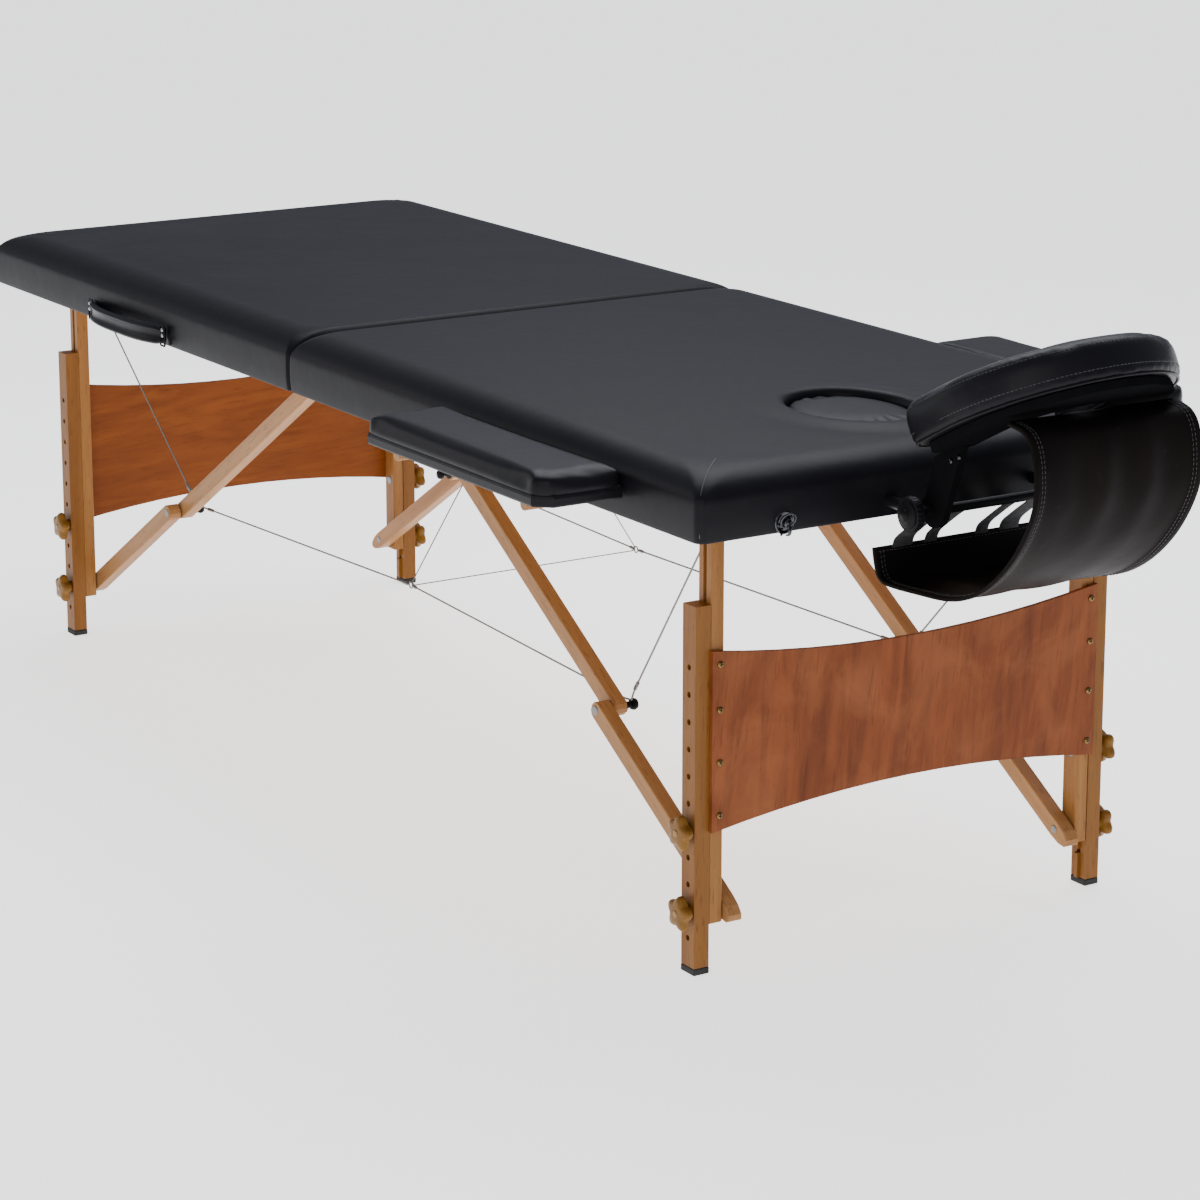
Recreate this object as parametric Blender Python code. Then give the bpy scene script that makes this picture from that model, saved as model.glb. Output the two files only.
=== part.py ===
"""Portable two-section massage table with wooden folding legs, armrests and a face cradle.

Metres, +Z up, floor at z = 0. Distances along the table are measured from its middle hinge, and the
empty "table" carries that hinge to HINGE_X, so that the whole object is centred on the origin.
"""
import math

import bmesh
import bpy
from mathutils import Matrix, Vector

# driving dimensions
HINGE_X = -0.1394
HALF_LENGTH = 0.925
HALF_WIDTH = 0.345
BASE_Z = 0.519                   # lower edge of the frame
TOP_Z = 0.5930                   # top of the pads
TOUCH = 0.0003                   # gap between faces that touch

# pads, decks and wooden frames
HALF_GAP = 0.0006                # each half stops this far from the middle
SKIRT = 0.0057                   # upholstery over the side of the frame
PAD_CORNER = 0.014
PAD_ROUND = 0.032                # rounding of the pad's upper edge
FRAME_HEIGHT = 0.046
FRAME_WALL = 0.018
DECK = 0.004
FRAME_Y = HALF_WIDTH - SKIRT - TOUCH
FRAME_END = HALF_LENGTH - SKIRT - TOUCH
FRAME_TOP = BASE_Z + FRAME_HEIGHT
BLOCK_X = 0.016                  # half length of the blocks that carry the pivots
BLOCK_SHORT = 0.001
BLOCK_GAP = 0.0005
DECK_HOLE_IN = 0.012             # the deck's hole is this much smaller all round
HOLE_X = 0.722                   # middle of the face hole
HOLE_RX = 0.092
HOLE_RY = 0.072
PLUG_SINK = 0.005

# middle hinge
HINGE_Z = 0.5155
HINGE_BARREL = 0.0030
HINGE_PIN = 0.0015
HINGE_LENGTH = 0.62
HINGE_KNUCKLES = 9
HINGE_PLATE = 0.0012
HINGE_WIDE = 0.024

# legs
POST_X = 0.0256
LEG_Y = 0.0172
EXTENSION_Y = 0.0200
LEG_OUT = 0.8364                 # outer face of a leg
LEG_FACE_Y = 0.2686              # outer side of a fixed leg, where the extension slides
LEG_FOOT_Z = 0.057
EXTENSION_TOP = 0.424
RUBBER = 0.0080
PIVOT_Z = 0.540                  # height of the leg pivots in the frame
GROOVE = 0.0032                  # half width of the groove that guides each extension
GROOVE_DEEP = 0.0042
GROOVE_TOP = 0.505
GROOVE_FIT = 0.0004              # the tongue is this much smaller each way
LEG_PIVOT_X = LEG_OUT - POST_X / 2
HOLE_PITCH = 0.0312
HOLE_TOP_Z = 0.3537
HOLE_COUNT = 11
HOLE_R = 0.0036
KNOB_HOLES = (6, 9)
KNOB_R = 0.0195
KNOB_Y = 0.0175
KNOB_NECK = 0.0045
KNOB_NECK_R = 0.0085
EDGE = 0.0012                    # broken edges of legs and bars

# end panels
PANEL_THICK = 0.006
PANEL_HALF = 0.2700
PANEL_TOP = 0.3730
PANEL_BOTTOM = 0.1650
PANEL_SAG = 0.0220

# folding braces, straight when the table stands
BAR_HIGH = 0.0225
BAR_THICK = 0.0185
LOWER_PIN_Z = 0.074
LOWER_BAR = 0.2990
KNUCKLE_PAST = 0.0100            # each bar runs this far past its pivots, and further at the leg
LEG_PAST = 0.0280
UPPER_PIN_X = 0.0652
UPPER_PIN_Z = 0.547
LOWER_BAR_Y = LEG_FACE_Y - LEG_Y - 0.0020        # outer side of the lower bars
UPPER_BAR_Y = LOWER_BAR_Y - BAR_THICK - 0.0015   # outer side of the upper bars
LOWER_PIN_IN = 0.0012            # the lower pin is this far inside the middle of the leg
CABLE_R = 0.0012
YOKE_R = 0.0009
CABLE_Y = UPPER_BAR_Y - BAR_THICK - 0.0070
CABLE_TOP = (0.842, 0.247, 0.556)
JUNCTION_Y = 0.174
JUNCTION_Z = 0.2445

# fittings
LATCH_Y = 0.236
LATCH_Z = 0.5310
LATCH_R = 0.0135
LATCH_NECK_R = 0.0060
LATCH_WING_R = 0.0115
LATCH_WING = 0.62                # the wing's height over its width
HANDLE_X = -0.4580
HANDLE_HALF = 0.1180
HANDLE_OUT = 0.0260
HANDLE_HIGH = 0.0270
HANDLE_Z = 0.5350
HANDLE_WALL = 0.0095

# armrests
ARM_FOOT_X = 0.400
ARM_HEAD_X = 0.786
ARM_IN_Y = 0.3500
ARM_OUT_Y = 0.4560
ARM_TOP = 0.5775
ARM_PAD = 0.0255
ARM_BOARD = 0.0080
ARM_BOARD_IN = 0.005
ARM_CUT = 0.016                  # outer head corner
DOWEL_NECK = 0.0045              # half width of the web over each dowel
BORE_GAP = 0.0004                # round a dowel, a rod or the cross bar
DOWEL_R = 0.0070
DOWEL_Z = 0.5400
DOWEL_X = (0.460, 0.740)

# face cradle
ROD_R = 0.0065
ROD_Y = 0.100
CRADLE_X = 0.990
CRADLE_Z = 0.5375
CRADLE_TILT = math.radians(27.0)
DISC_R = 0.0190
DISC_IN_Y = 0.112
DISC_OUT_Y = 0.121
CROSS_R = 0.0055
CROSS_Y = 0.124
ROD_START_X = 0.868              # the rods reach this far into the head half
WEB_IN_Y = 0.094
WEB_OUT_Y = 0.118
WEB_HALF = 0.005
ARM_PLATE_IN_Y = 0.079
ARM_PLATE_OUT_Y = 0.088
CUSHION_TIP = 0.030
CUSHION_CHAMFER = 0.012
PLATE_N = 0.050                  # height of the tilted plate over its pivot
PLATE_THICK = 0.009
CUSHION_HIGH = 0.052
CUSHION_HALF = 0.1430
CUSHION_U = (0.046, 0.274)
ARM_GAP = 0.055                  # half the opening of the horseshoe
SLING_HALF = 0.1110
SLING_THICK = 0.0040

COLOURS = {
    "vinyl": ((0.018, 0.018, 0.021), 0.36, 0.0),
    "beech": ((0.62, 0.40, 0.21), 0.48, 0.0),
    "plywood": ((0.40, 0.17, 0.08), 0.45, 0.0),
    "knob_wood": ((0.66, 0.44, 0.20), 0.40, 0.0),
    "rubber": ((0.016, 0.016, 0.016), 0.80, 0.0),
    "steel": ((0.42, 0.42, 0.43), 0.35, 0.9),
    "chrome": ((0.75, 0.75, 0.77), 0.12, 1.0),
    "black_metal": ((0.020, 0.020, 0.022), 0.40, 0.6),
    "deck": ((0.55, 0.40, 0.24), 0.60, 0.0),
}


# ---------------------------------------------------------------- building blocks
def clear_scene():
    for item in list(bpy.data.objects):
        bpy.data.objects.remove(item, do_unlink=True)


def table_empty():
    empty = bpy.data.objects.new("table", None)
    empty.location = (HINGE_X, 0.0, 0.0)
    bpy.context.collection.objects.link(empty)
    return empty


def material(name, finish):
    colour, roughness, metallic = COLOURS[finish]
    made = bpy.data.materials.new(name)
    made.use_nodes = True
    shader = made.node_tree.nodes["Principled BSDF"]
    shader.inputs["Base Color"].default_value = (*colour, 1.0)
    shader.inputs["Roughness"].default_value = roughness
    shader.inputs["Metallic"].default_value = metallic
    return made


def place(name, shape, finish, pivot, table):
    """Turn a bmesh in table coordinates into a named object whose origin is at pivot."""
    bmesh.ops.remove_doubles(shape, verts=shape.verts, dist=0.00001)
    bmesh.ops.recalc_face_normals(shape, faces=shape.faces)
    bmesh.ops.translate(shape, verts=shape.verts, vec=-Vector(pivot))
    mesh = bpy.data.meshes.new(name)
    shape.to_mesh(mesh)
    shape.free()
    mesh.materials.append(material(name, finish))
    item = bpy.data.objects.new(name, mesh)
    item.location = pivot
    item.parent = table
    bpy.context.collection.objects.link(item)
    return item


def cut_or_join(item, shape, operation, table, pivot=(0.0, 0.0, 0.0)):
    """Apply a bmesh in table coordinates to an object as an exact Boolean."""
    tool = place(item.name + "_tool", shape, "steel", pivot, table)
    modifier = item.modifiers.new(operation.lower(), "BOOLEAN")
    modifier.operation = operation
    modifier.solver = "EXACT"
    modifier.object = tool
    bpy.context.view_layer.update()
    graph = bpy.context.evaluated_depsgraph_get()
    done = bpy.data.meshes.new_from_object(item.evaluated_get(graph))
    item.modifiers.clear()
    old = item.data
    name = old.name
    item.data = done
    bpy.data.meshes.remove(old)
    done.name = name
    bpy.data.objects.remove(tool, do_unlink=True)


def bevel(item, width, segments=1, angle=35.0):
    modifier = item.modifiers.new("bevel", "BEVEL")
    modifier.width = width
    modifier.segments = segments
    modifier.limit_method = "ANGLE"
    modifier.angle_limit = math.radians(angle)
    return item


def add_box(shape, low, high):
    corners = []
    for x in (low[0], high[0]):
        for y in (low[1], high[1]):
            for z in (low[2], high[2]):
                corners.append(shape.verts.new((x, y, z)))
    for quad in ((0, 1, 3, 2), (4, 6, 7, 5), (0, 4, 5, 1), (2, 3, 7, 6), (0, 2, 6, 4), (1, 5, 7, 3)):
        shape.faces.new([corners[i] for i in quad])
    return shape


def box(low, high):
    return add_box(bmesh.new(), low, high)


def add_prism(shape, outline, axis, start, end):
    """Extrude a closed outline. axis "y" takes (x, z) points, "z" takes (x, y), "x" takes (y, z)."""
    def point(pair, along):
        a, b = pair
        if axis == "y":
            return (a, along, b)
        if axis == "z":
            return (a, b, along)
        return (along, a, b)

    first = [shape.verts.new(point(pair, start)) for pair in outline]
    last = [shape.verts.new(point(pair, end)) for pair in outline]
    count = len(outline)
    for i in range(count):
        j = (i + 1) % count
        shape.faces.new((first[i], first[j], last[j], last[i]))
    shape.faces.new(first)
    shape.faces.new(list(reversed(last)))
    return shape


def prism(outline, axis, start, end):
    return add_prism(bmesh.new(), outline, axis, start, end)


def circle(centre, radius, count, squash=1.0):
    points = []
    for i in range(count):
        angle = 2.0 * math.pi * i / count
        points.append((centre[0] + radius * math.cos(angle), centre[1] + squash * radius * math.sin(angle)))
    return points


def rounded_rectangle(x0, x1, y0, y1, radius, steps=4):
    points = []
    corners = ((x1, y1, 0), (x0, y1, 90), (x0, y0, 180), (x1, y0, 270))
    for x, y, start in corners:
        cx = x - radius if x == x1 else x + radius
        cy = y - radius if y == y1 else y + radius
        for i in range(steps + 1):
            angle = math.radians(start + 90.0 * i / steps)
            points.append((cx + radius * math.cos(angle), cy + radius * math.sin(angle)))
    return points


def skin(loops):
    """A closed solid through loops of equally many points, capped at the first and the last."""
    shape = bmesh.new()
    rings = [[shape.verts.new(point) for point in loop] for loop in loops]
    for low, high in zip(rings, rings[1:]):
        for i in range(len(low)):
            j = (i + 1) % len(low)
            shape.faces.new((low[i], low[j], high[j], high[i]))
    shape.faces.new(list(reversed(rings[0])))
    shape.faces.new(rings[-1])
    return shape


def tube(points, radius, count=8):
    """A round wire along a list of points, mitred at each bend."""
    points = [Vector(p) for p in points]
    loops = []
    side = None
    for i, here in enumerate(points):
        before = (here - points[i - 1]).normalized() if i else (points[1] - here).normalized()
        after = (points[i + 1] - here).normalized() if i + 1 < len(points) else before
        along = (before + after).normalized()
        if side is None:
            side = along.orthogonal().normalized()
        side = (side - along * side.dot(along)).normalized()
        up = along.cross(side)
        loops.append([here + radius * (math.cos(t) * side + math.sin(t) * up)
                      for t in (2.0 * math.pi * k / count for k in range(count))])
    return skin(loops)


# ---------------------------------------------------------------- table halves
def half_span(side, inner, outer):
    """The x limits of one half: side +1 is the head half, -1 the foot half."""
    return (inner, outer) if side > 0 else (-outer, -inner)


def pad(name, side, table):
    loops = []
    x0, x1 = half_span(side, HALF_GAP, HALF_LENGTH)
    ix0, ix1 = half_span(side, HALF_GAP + SKIRT, HALF_LENGTH - SKIRT)
    inner_y = HALF_WIDTH - SKIRT
    ceiling = FRAME_TOP + DECK + 3 * TOUCH
    inside = rounded_rectangle(ix0, ix1, -inner_y, inner_y, 0.0005)
    loops.append([(x, y, ceiling) for x, y in inside])
    loops.append([(x, y, BASE_Z) for x, y in inside])
    outside = rounded_rectangle(x0, x1, -HALF_WIDTH, HALF_WIDTH, PAD_CORNER)
    loops.append([(x, y, BASE_Z) for x, y in outside])
    steps = 5
    for i in range(steps + 1):
        angle = 0.5 * math.pi * i / steps
        inset = PAD_ROUND * (1.0 - math.cos(angle))
        height = TOP_Z - PAD_ROUND * (1.0 - math.sin(angle))
        ring = rounded_rectangle(x0 + inset, x1 - inset, inset - HALF_WIDTH, HALF_WIDTH - inset,
                                 max(PAD_CORNER, 0.004))
        loops.append([(x, y, height) for x, y in ring])
    return place(name, skin(loops), "vinyl", (0.0, 0.0, HINGE_Z), table)


def deck(name, side, table):
    x0, x1 = half_span(side, HALF_GAP + SKIRT + TOUCH, FRAME_END)
    bottom = FRAME_TOP + TOUCH
    shape = box((x0, -FRAME_Y, bottom), (x1, FRAME_Y, bottom + DECK))
    return place(name, shape, "deck", (0.0, 0.0, HINGE_Z), table)


def frame(name, side, table):
    x0, x1 = half_span(side, HALF_GAP + SKIRT + TOUCH, FRAME_END)
    shape = bmesh.new()
    outer = ((x0, -FRAME_Y), (x1, -FRAME_Y), (x1, FRAME_Y), (x0, FRAME_Y))
    wall = FRAME_WALL
    inner = ((x0 + wall, wall - FRAME_Y), (x1 - wall, wall - FRAME_Y),
             (x1 - wall, FRAME_Y - wall), (x0 + wall, FRAME_Y - wall))
    rings = [[shape.verts.new((x, y, z)) for x, y in corner]
             for corner, z in ((outer, BASE_Z), (outer, FRAME_TOP), (inner, FRAME_TOP), (inner, BASE_Z))]
    for k in range(4):
        low, high = rings[k], rings[(k + 1) % 4]
        for i in range(4):
            j = (i + 1) % 4
            shape.faces.new((low[i], low[j], high[j], high[i]))
    item = place(name, shape, "beech", (0.0, 0.0, HINGE_Z), table)
    blocks = bmesh.new()
    for sign in (-1, 1):
        for middle, inner_y in ((LEG_PIVOT_X, LEG_FACE_Y + BLOCK_GAP),
                                (UPPER_PIN_X, UPPER_BAR_Y + BLOCK_GAP)):
            ys = sorted((sign * inner_y, sign * (FRAME_Y - 0.5 * FRAME_WALL)))
            add_box(blocks, (side * middle - BLOCK_X, ys[0], BASE_Z + BLOCK_SHORT),
                    (side * middle + BLOCK_X, ys[1], FRAME_TOP - BLOCK_SHORT))
    cut_or_join(item, blocks, "UNION", table)
    return item


def face_hole(radius_x, radius_y, low, high):
    ratio = radius_y / radius_x
    return prism(circle((HOLE_X, 0.0), radius_x, 32, ratio), "z", low, high)


def face_plug(table):
    ratio = HOLE_RY / HOLE_RX
    top = TOP_Z - PLUG_SINK
    bottom = FRAME_TOP + DECK + 5 * TOUCH
    loops = []
    for radius, z in ((HOLE_RX - 0.003, bottom), (HOLE_RX - 0.003, top - 0.010),
                      (HOLE_RX - 0.006, top - 0.003), (HOLE_RX - 0.016, top)):
        loops.append([(x, y, z) for x, y in circle((HOLE_X, 0.0), radius, 32, ratio)])
    return place("face_plug", skin(loops), "vinyl", (HOLE_X, 0.0, bottom), table)


# ---------------------------------------------------------------- middle hinge
def hinge_leaf(name, side, table):
    """Half of the piano hinge: a plate under the frame with every other knuckle of the barrel."""
    steps = 16
    barrel = prism(circle((0.0, HINGE_Z), HINGE_BARREL, steps), "y", -HINGE_LENGTH / 2, HINGE_LENGTH / 2)
    item = place(name, barrel, "steel", (0.0, 0.0, HINGE_Z), table)
    ends = sorted((side * HINGE_BARREL * 0.55, side * HINGE_WIDE))
    plate = box((ends[0], -HINGE_LENGTH / 2, BASE_Z - TOUCH - HINGE_PLATE),
                (ends[1], HINGE_LENGTH / 2, BASE_Z - TOUCH))
    cut_or_join(item, plate, "UNION", table)
    bore = prism(circle((0.0, HINGE_Z), HINGE_PIN + 0.00008, steps), "y", -HINGE_LENGTH, HINGE_LENGTH)
    cut_or_join(item, bore, "DIFFERENCE", table)
    pitch = HINGE_LENGTH / HINGE_KNUCKLES
    gaps = bmesh.new()
    for i in range(HINGE_KNUCKLES):
        if (i % 2 == 0) == (side > 0):
            continue
        start = -HINGE_LENGTH / 2 + i * pitch
        reach = sorted((-side * 0.006, side * (HINGE_BARREL + 0.0008)))
        add_box(gaps, (reach[0], start - TOUCH, HINGE_Z - 0.006),
                (reach[1], start + pitch + TOUCH, HINGE_Z + 0.006))
    cut_or_join(item, gaps, "DIFFERENCE", table)
    return item


def hinge_pin(table):
    pin = prism(circle((0.0, HINGE_Z), HINGE_PIN, 16), "y", -HINGE_LENGTH / 2 - 0.002, HINGE_LENGTH / 2 + 0.002)
    return place("hinge_pin", pin, "steel", (0.0, 0.0, HINGE_Z), table)


# ---------------------------------------------------------------- legs
def corner_tag(side, hand):
    return ("head" if side > 0 else "foot") + ("_near" if hand < 0 else "_far")


def leg_x(side):
    return sorted((side * LEG_OUT, side * (LEG_OUT - POST_X)))


def leg(side, hand, table):
    x0, x1 = leg_x(side)
    y0, y1 = sorted((hand * LEG_FACE_Y, hand * (LEG_FACE_Y - LEG_Y)))
    middle = side * LEG_PIVOT_X
    outline = [(x0, LEG_FOOT_Z), (x1, LEG_FOOT_Z)]
    for i in range(9):
        angle = math.pi * i / 8
        outline.append((middle + POST_X / 2 * math.cos(angle), PIVOT_Z + POST_X / 2 * math.sin(angle)))
    item = place("leg_" + corner_tag(side, hand), prism(outline, "y", y0, y1), "beech",
                 (middle, hand * LEG_FACE_Y, PIVOT_Z), table)
    bevel(item, EDGE)
    depth = sorted((hand * (LEG_FACE_Y - GROOVE_DEEP), hand * (LEG_FACE_Y + 0.005)))
    groove = box((middle - GROOVE, depth[0], LEG_FOOT_Z - 0.005), (middle + GROOVE, depth[1], GROOVE_TOP))
    cut_or_join(item, groove, "DIFFERENCE", table)
    return item


def leg_extension(side, hand, table):
    x0, x1 = leg_x(side)
    y0, y1 = sorted((hand * (LEG_FACE_Y + TOUCH), hand * (LEG_FACE_Y + EXTENSION_Y)))
    shape = box((x0, y0, RUBBER + TOUCH), (x1, y1, EXTENSION_TOP))
    item = place("leg_extension_" + corner_tag(side, hand), shape, "beech",
                 (side * LEG_PIVOT_X, hand * (LEG_FACE_Y + EXTENSION_Y), HOLE_TOP_Z), table)
    middle = side * LEG_PIVOT_X
    half = GROOVE - GROOVE_FIT
    depth = sorted((hand * (LEG_FACE_Y - GROOVE_DEEP + GROOVE_FIT), hand * (LEG_FACE_Y + 0.002)))
    tongue = box((middle - half, depth[0], RUBBER + TOUCH), (middle + half, depth[1], EXTENSION_TOP))
    cut_or_join(item, tongue, "UNION", table)
    holes = bmesh.new()
    for i in range(HOLE_COUNT):
        centre = (side * LEG_PIVOT_X, HOLE_TOP_Z - i * HOLE_PITCH)
        add_prism(holes, circle(centre, HOLE_R, 10), "y", y0 - 0.010, y1 + 0.010)
    cut_or_join(item, holes, "DIFFERENCE", table)
    return item


def rubber_foot(side, hand, table):
    x0, x1 = leg_x(side)
    y0, y1 = sorted((hand * (LEG_FACE_Y - 0.0004), hand * (LEG_FACE_Y + EXTENSION_Y + 0.0006)))
    shape = box((x0 - 0.0006, y0, 0.0), (x1 + 0.0006, y1, RUBBER))
    item = place("rubber_foot_" + corner_tag(side, hand), shape, "rubber",
                 (side * LEG_PIVOT_X, hand * LEG_FACE_Y, 0.0), table)
    return bevel(item, 0.0010)


def star_knob(side, hand, hole, label, table):
    """Five-lobed wooden knob: a turned neck against the extension and a lobed grip."""
    centre = Vector((side * LEG_PIVOT_X, HOLE_TOP_Z - hole * HOLE_PITCH))
    face = LEG_FACE_Y + EXTENSION_Y + TOUCH
    neck = KNOB_NECK

    def ring(radius, wave, depth):
        points = []
        for i in range(30):
            angle = 2.0 * math.pi * i / 30
            reach = radius * (1.0 + wave * math.cos(5.0 * angle))
            points.append((centre.x + reach * math.cos(angle), hand * (face + depth),
                           centre.y + reach * math.sin(angle)))
        return points

    loops = [ring(KNOB_NECK_R, 0.0, 0.0), ring(KNOB_NECK_R, 0.0, neck), ring(KNOB_R - 0.004, 0.12, neck + 0.001),
             ring(KNOB_R - 0.0015, 0.14, neck + 0.004), ring(KNOB_R - 0.0015, 0.14, KNOB_Y - 0.004),
             ring(KNOB_R - 0.005, 0.11, KNOB_Y)]
    return place("star_knob_" + corner_tag(side, hand) + "_" + label, skin(loops), "knob_wood",
                 (centre.x, hand * face, centre.y), table)


def end_panel(name, side, table):
    """Plywood panel with hollowed upper and lower edges, screwed on the outer faces of the legs."""
    steps = 12
    outline = []
    for i in range(steps + 1):
        t = -1.0 + 2.0 * i / steps
        outline.append((PANEL_HALF * t, PANEL_BOTTOM + PANEL_SAG * (1.0 - t * t)))
    for i in range(steps + 1):
        t = 1.0 - 2.0 * i / steps
        outline.append((PANEL_HALF * t, PANEL_TOP - PANEL_SAG * (1.0 - t * t)))
    x0, x1 = sorted((side * (LEG_OUT + TOUCH), side * (LEG_OUT + PANEL_THICK)))
    return place(name, prism(outline, "x", x0, x1), "plywood", (side * LEG_PIVOT_X, 0.0, PIVOT_Z), table)


# ---------------------------------------------------------------- braces and cables
def brace_line():
    """Upper pivot, knuckle and lower pivot of the head braces as (x, z), on one straight line."""
    upper = Vector((UPPER_PIN_X, UPPER_PIN_Z))
    lower = Vector((LEG_PIVOT_X - LOWER_PIN_IN, LOWER_PIN_Z))
    along = (lower - upper).normalized()
    return upper, lower - along * LOWER_BAR, lower


def bar_outline(start, end, past_start, past_end):
    """A bar of BAR_HIGH between two pivots, round past its start and its end."""
    along = (end - start).normalized()
    across = Vector((-along.y, along.x))
    half = BAR_HIGH / 2
    points = []
    for centre, past, way in ((end, past_end, 1.0), (start, past_start, -1.0)):
        for i in range(7):
            angle = math.radians(-90.0 + 30.0 * i)
            points.append(centre + way * (along * (past * math.cos(angle)) + across * (half * math.sin(angle))))
    return points


def brace(name, side, hand, start, end, outer_y, pivot, table):
    """One bar; the lower one reaches further past its pin in the leg than past the knuckle."""
    past_end = KNUCKLE_PAST if pivot == start else LEG_PAST
    outline = [(side * p.x, p.y) for p in bar_outline(start, end, KNUCKLE_PAST, past_end)]
    y0, y1 = sorted((hand * outer_y, hand * (outer_y - BAR_THICK)))
    item = place(name, prism(outline, "y", y0, y1), "beech", (side * pivot.x, hand * outer_y, pivot.y), table)
    return bevel(item, EDGE, angle=50.0)


def knuckle_nut(side, hand, table):
    """Ball nut with its washer, on the inner side of the upper bar."""
    knuckle = brace_line()[1]
    start = UPPER_BAR_Y - BAR_THICK - TOUCH
    loops = []
    for radius, depth in ((0.0085, 0.0), (0.0085, 0.0012), (0.0040, 0.0016), (0.0040, 0.0095), (0.0062, 0.0105),
                          (0.0074, 0.0140), (0.0062, 0.0175), (0.0030, 0.0192)):
        loops.append([(x, hand * (start - depth), z)
                      for x, z in circle((side * knuckle.x, knuckle.y), radius, 16)])
    return place("knuckle_nut_" + corner_tag(side, hand), skin(loops), "black_metal",
                 (side * knuckle.x, hand * start, knuckle.y), table)


def brace_cable(side, hand, table):
    """Steel wire from the frame near the table's end, round the knuckle, to the junction in mid table."""
    knuckle = brace_line()[1]
    y = hand * CABLE_Y
    route = [(side * CABLE_TOP[0], hand * CABLE_TOP[1], CABLE_TOP[2]),
             (side * (knuckle.x + 0.014), y, knuckle.y + 0.022),
             (side * (knuckle.x + 0.0070), y, knuckle.y + 0.0080),
             (side * (knuckle.x - 0.0070), y, knuckle.y + 0.0065),
             (side * (knuckle.x - 0.040), y, knuckle.y + 0.008),
             (side * 0.004, hand * JUNCTION_Y, JUNCTION_Z)]
    return place("brace_cable_" + corner_tag(side, hand), tube(route, CABLE_R, 6), "steel",
                 (side * UPPER_PIN_X, y, UPPER_PIN_Z), table)


def yoke_cable(table):
    """Thin wire triangle under the hinge, holding both long cables together."""
    top = BASE_Z - 0.012
    low = JUNCTION_Z
    reach = JUNCTION_Y - 0.002
    route = [(0.0, -0.006, top), (0.0, -reach, low + 0.003), (0.0, -reach + 0.004, low - 0.001),
             (0.0, reach - 0.004, low - 0.001), (0.0, reach, low + 0.003), (0.0, 0.006, top)]
    return place("yoke_cable", tube(route, YOKE_R, 6), "steel", (0.0, 0.0, HINGE_Z), table)


# ---------------------------------------------------------------- fittings
def latch(name, hand, table):
    """Turn latch on the head end: a round plate, a short neck and a wing to turn it by."""
    face = HALF_LENGTH + TOUCH
    centre = (hand * LATCH_Y, LATCH_Z)
    loops = []
    for radius, depth, squash in ((LATCH_R, 0.0, 1.0), (LATCH_R, 0.0022, 1.0), (LATCH_NECK_R, 0.0030, 1.0),
                                  (LATCH_NECK_R, 0.0060, 1.0), (LATCH_WING_R, 0.0068, LATCH_WING),
                                  (LATCH_WING_R, 0.0110, LATCH_WING), (0.0080, 0.0128, 0.55)):
        loops.append([(face + depth, y, z) for y, z in circle(centre, radius, 20, squash)])
    return place(name, skin(loops), "chrome", (face, centre[0], centre[1]), table)


def carry_handle(table):
    """Padded grip on the near side of the foot half, bowed out from its two end plates."""
    steps = 10
    base = HALF_WIDTH + TOUCH
    outline = []
    for i in range(steps + 1):
        t = -1.0 + 2.0 * i / steps
        outline.append((HANDLE_X + HANDLE_HALF * t, -base - HANDLE_OUT * (1.0 - t ** 4) - 0.004))
    for i in range(steps + 1):
        t = 1.0 - 2.0 * i / steps
        lift = max(0.0, HANDLE_OUT * (1.0 - (t * 1.12) ** 4) - HANDLE_WALL + 0.004)
        outline.append((HANDLE_X + HANDLE_HALF * t, -base - lift))
    shape = prism(outline, "z", HANDLE_Z - HANDLE_HIGH / 2, HANDLE_Z + HANDLE_HIGH / 2)
    return place("carry_handle", shape, "vinyl", (HANDLE_X, -base, HANDLE_Z), table)


def armrest_outline(inset):
    """Seen from above, near side: a long pad whose outer head corner is cut off."""
    foot, head = ARM_FOOT_X + inset, ARM_HEAD_X - inset
    inner, outer = -ARM_IN_Y - inset, -ARM_OUT_Y + inset
    return [(foot, inner), (head, inner), (head, outer + ARM_CUT), (head - ARM_CUT, outer), (foot, outer)]


def armrest(hand, table):
    label = "near" if hand < 0 else "far"
    bottom = ARM_TOP - ARM_PAD
    loops = []
    for inset, z in ((0.003, bottom), (0.0, bottom + 0.004), (0.0, ARM_TOP - 0.007), (0.0025, ARM_TOP - 0.002),
                     (0.007, ARM_TOP)):
        loops.append([(x, -hand * y, z) for x, y in armrest_outline(inset)])
    cushion = place("armrest_pad_" + label, skin(loops), "vinyl", (ARM_FOOT_X, hand * ARM_IN_Y, bottom), table)
    board_top = bottom - TOUCH
    outline = [(x, -hand * y) for x, y in armrest_outline(ARM_BOARD_IN)]
    board = place("armrest_board_" + label, prism(outline, "z", board_top - ARM_BOARD, board_top), "beech",
                  (ARM_FOOT_X, hand * ARM_IN_Y, board_top), table)
    necks = bmesh.new()
    dowels = bmesh.new()
    for x in DOWEL_X:
        y0, y1 = sorted((hand * (ARM_IN_Y + 0.006), hand * (ARM_OUT_Y - 0.012)))
        add_box(necks, (x - DOWEL_NECK, y0, DOWEL_Z), (x + DOWEL_NECK, y1, board_top - ARM_BOARD / 2))
        y0, y1 = sorted((hand * (FRAME_Y - FRAME_WALL + 0.0005), hand * (ARM_OUT_Y - 0.008)))
        add_prism(dowels, circle((x, DOWEL_Z), DOWEL_R, 16), "y", y0, y1)
    cut_or_join(board, necks, "UNION", table)
    cut_or_join(board, dowels, "UNION", table)
    return cushion, board


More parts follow.
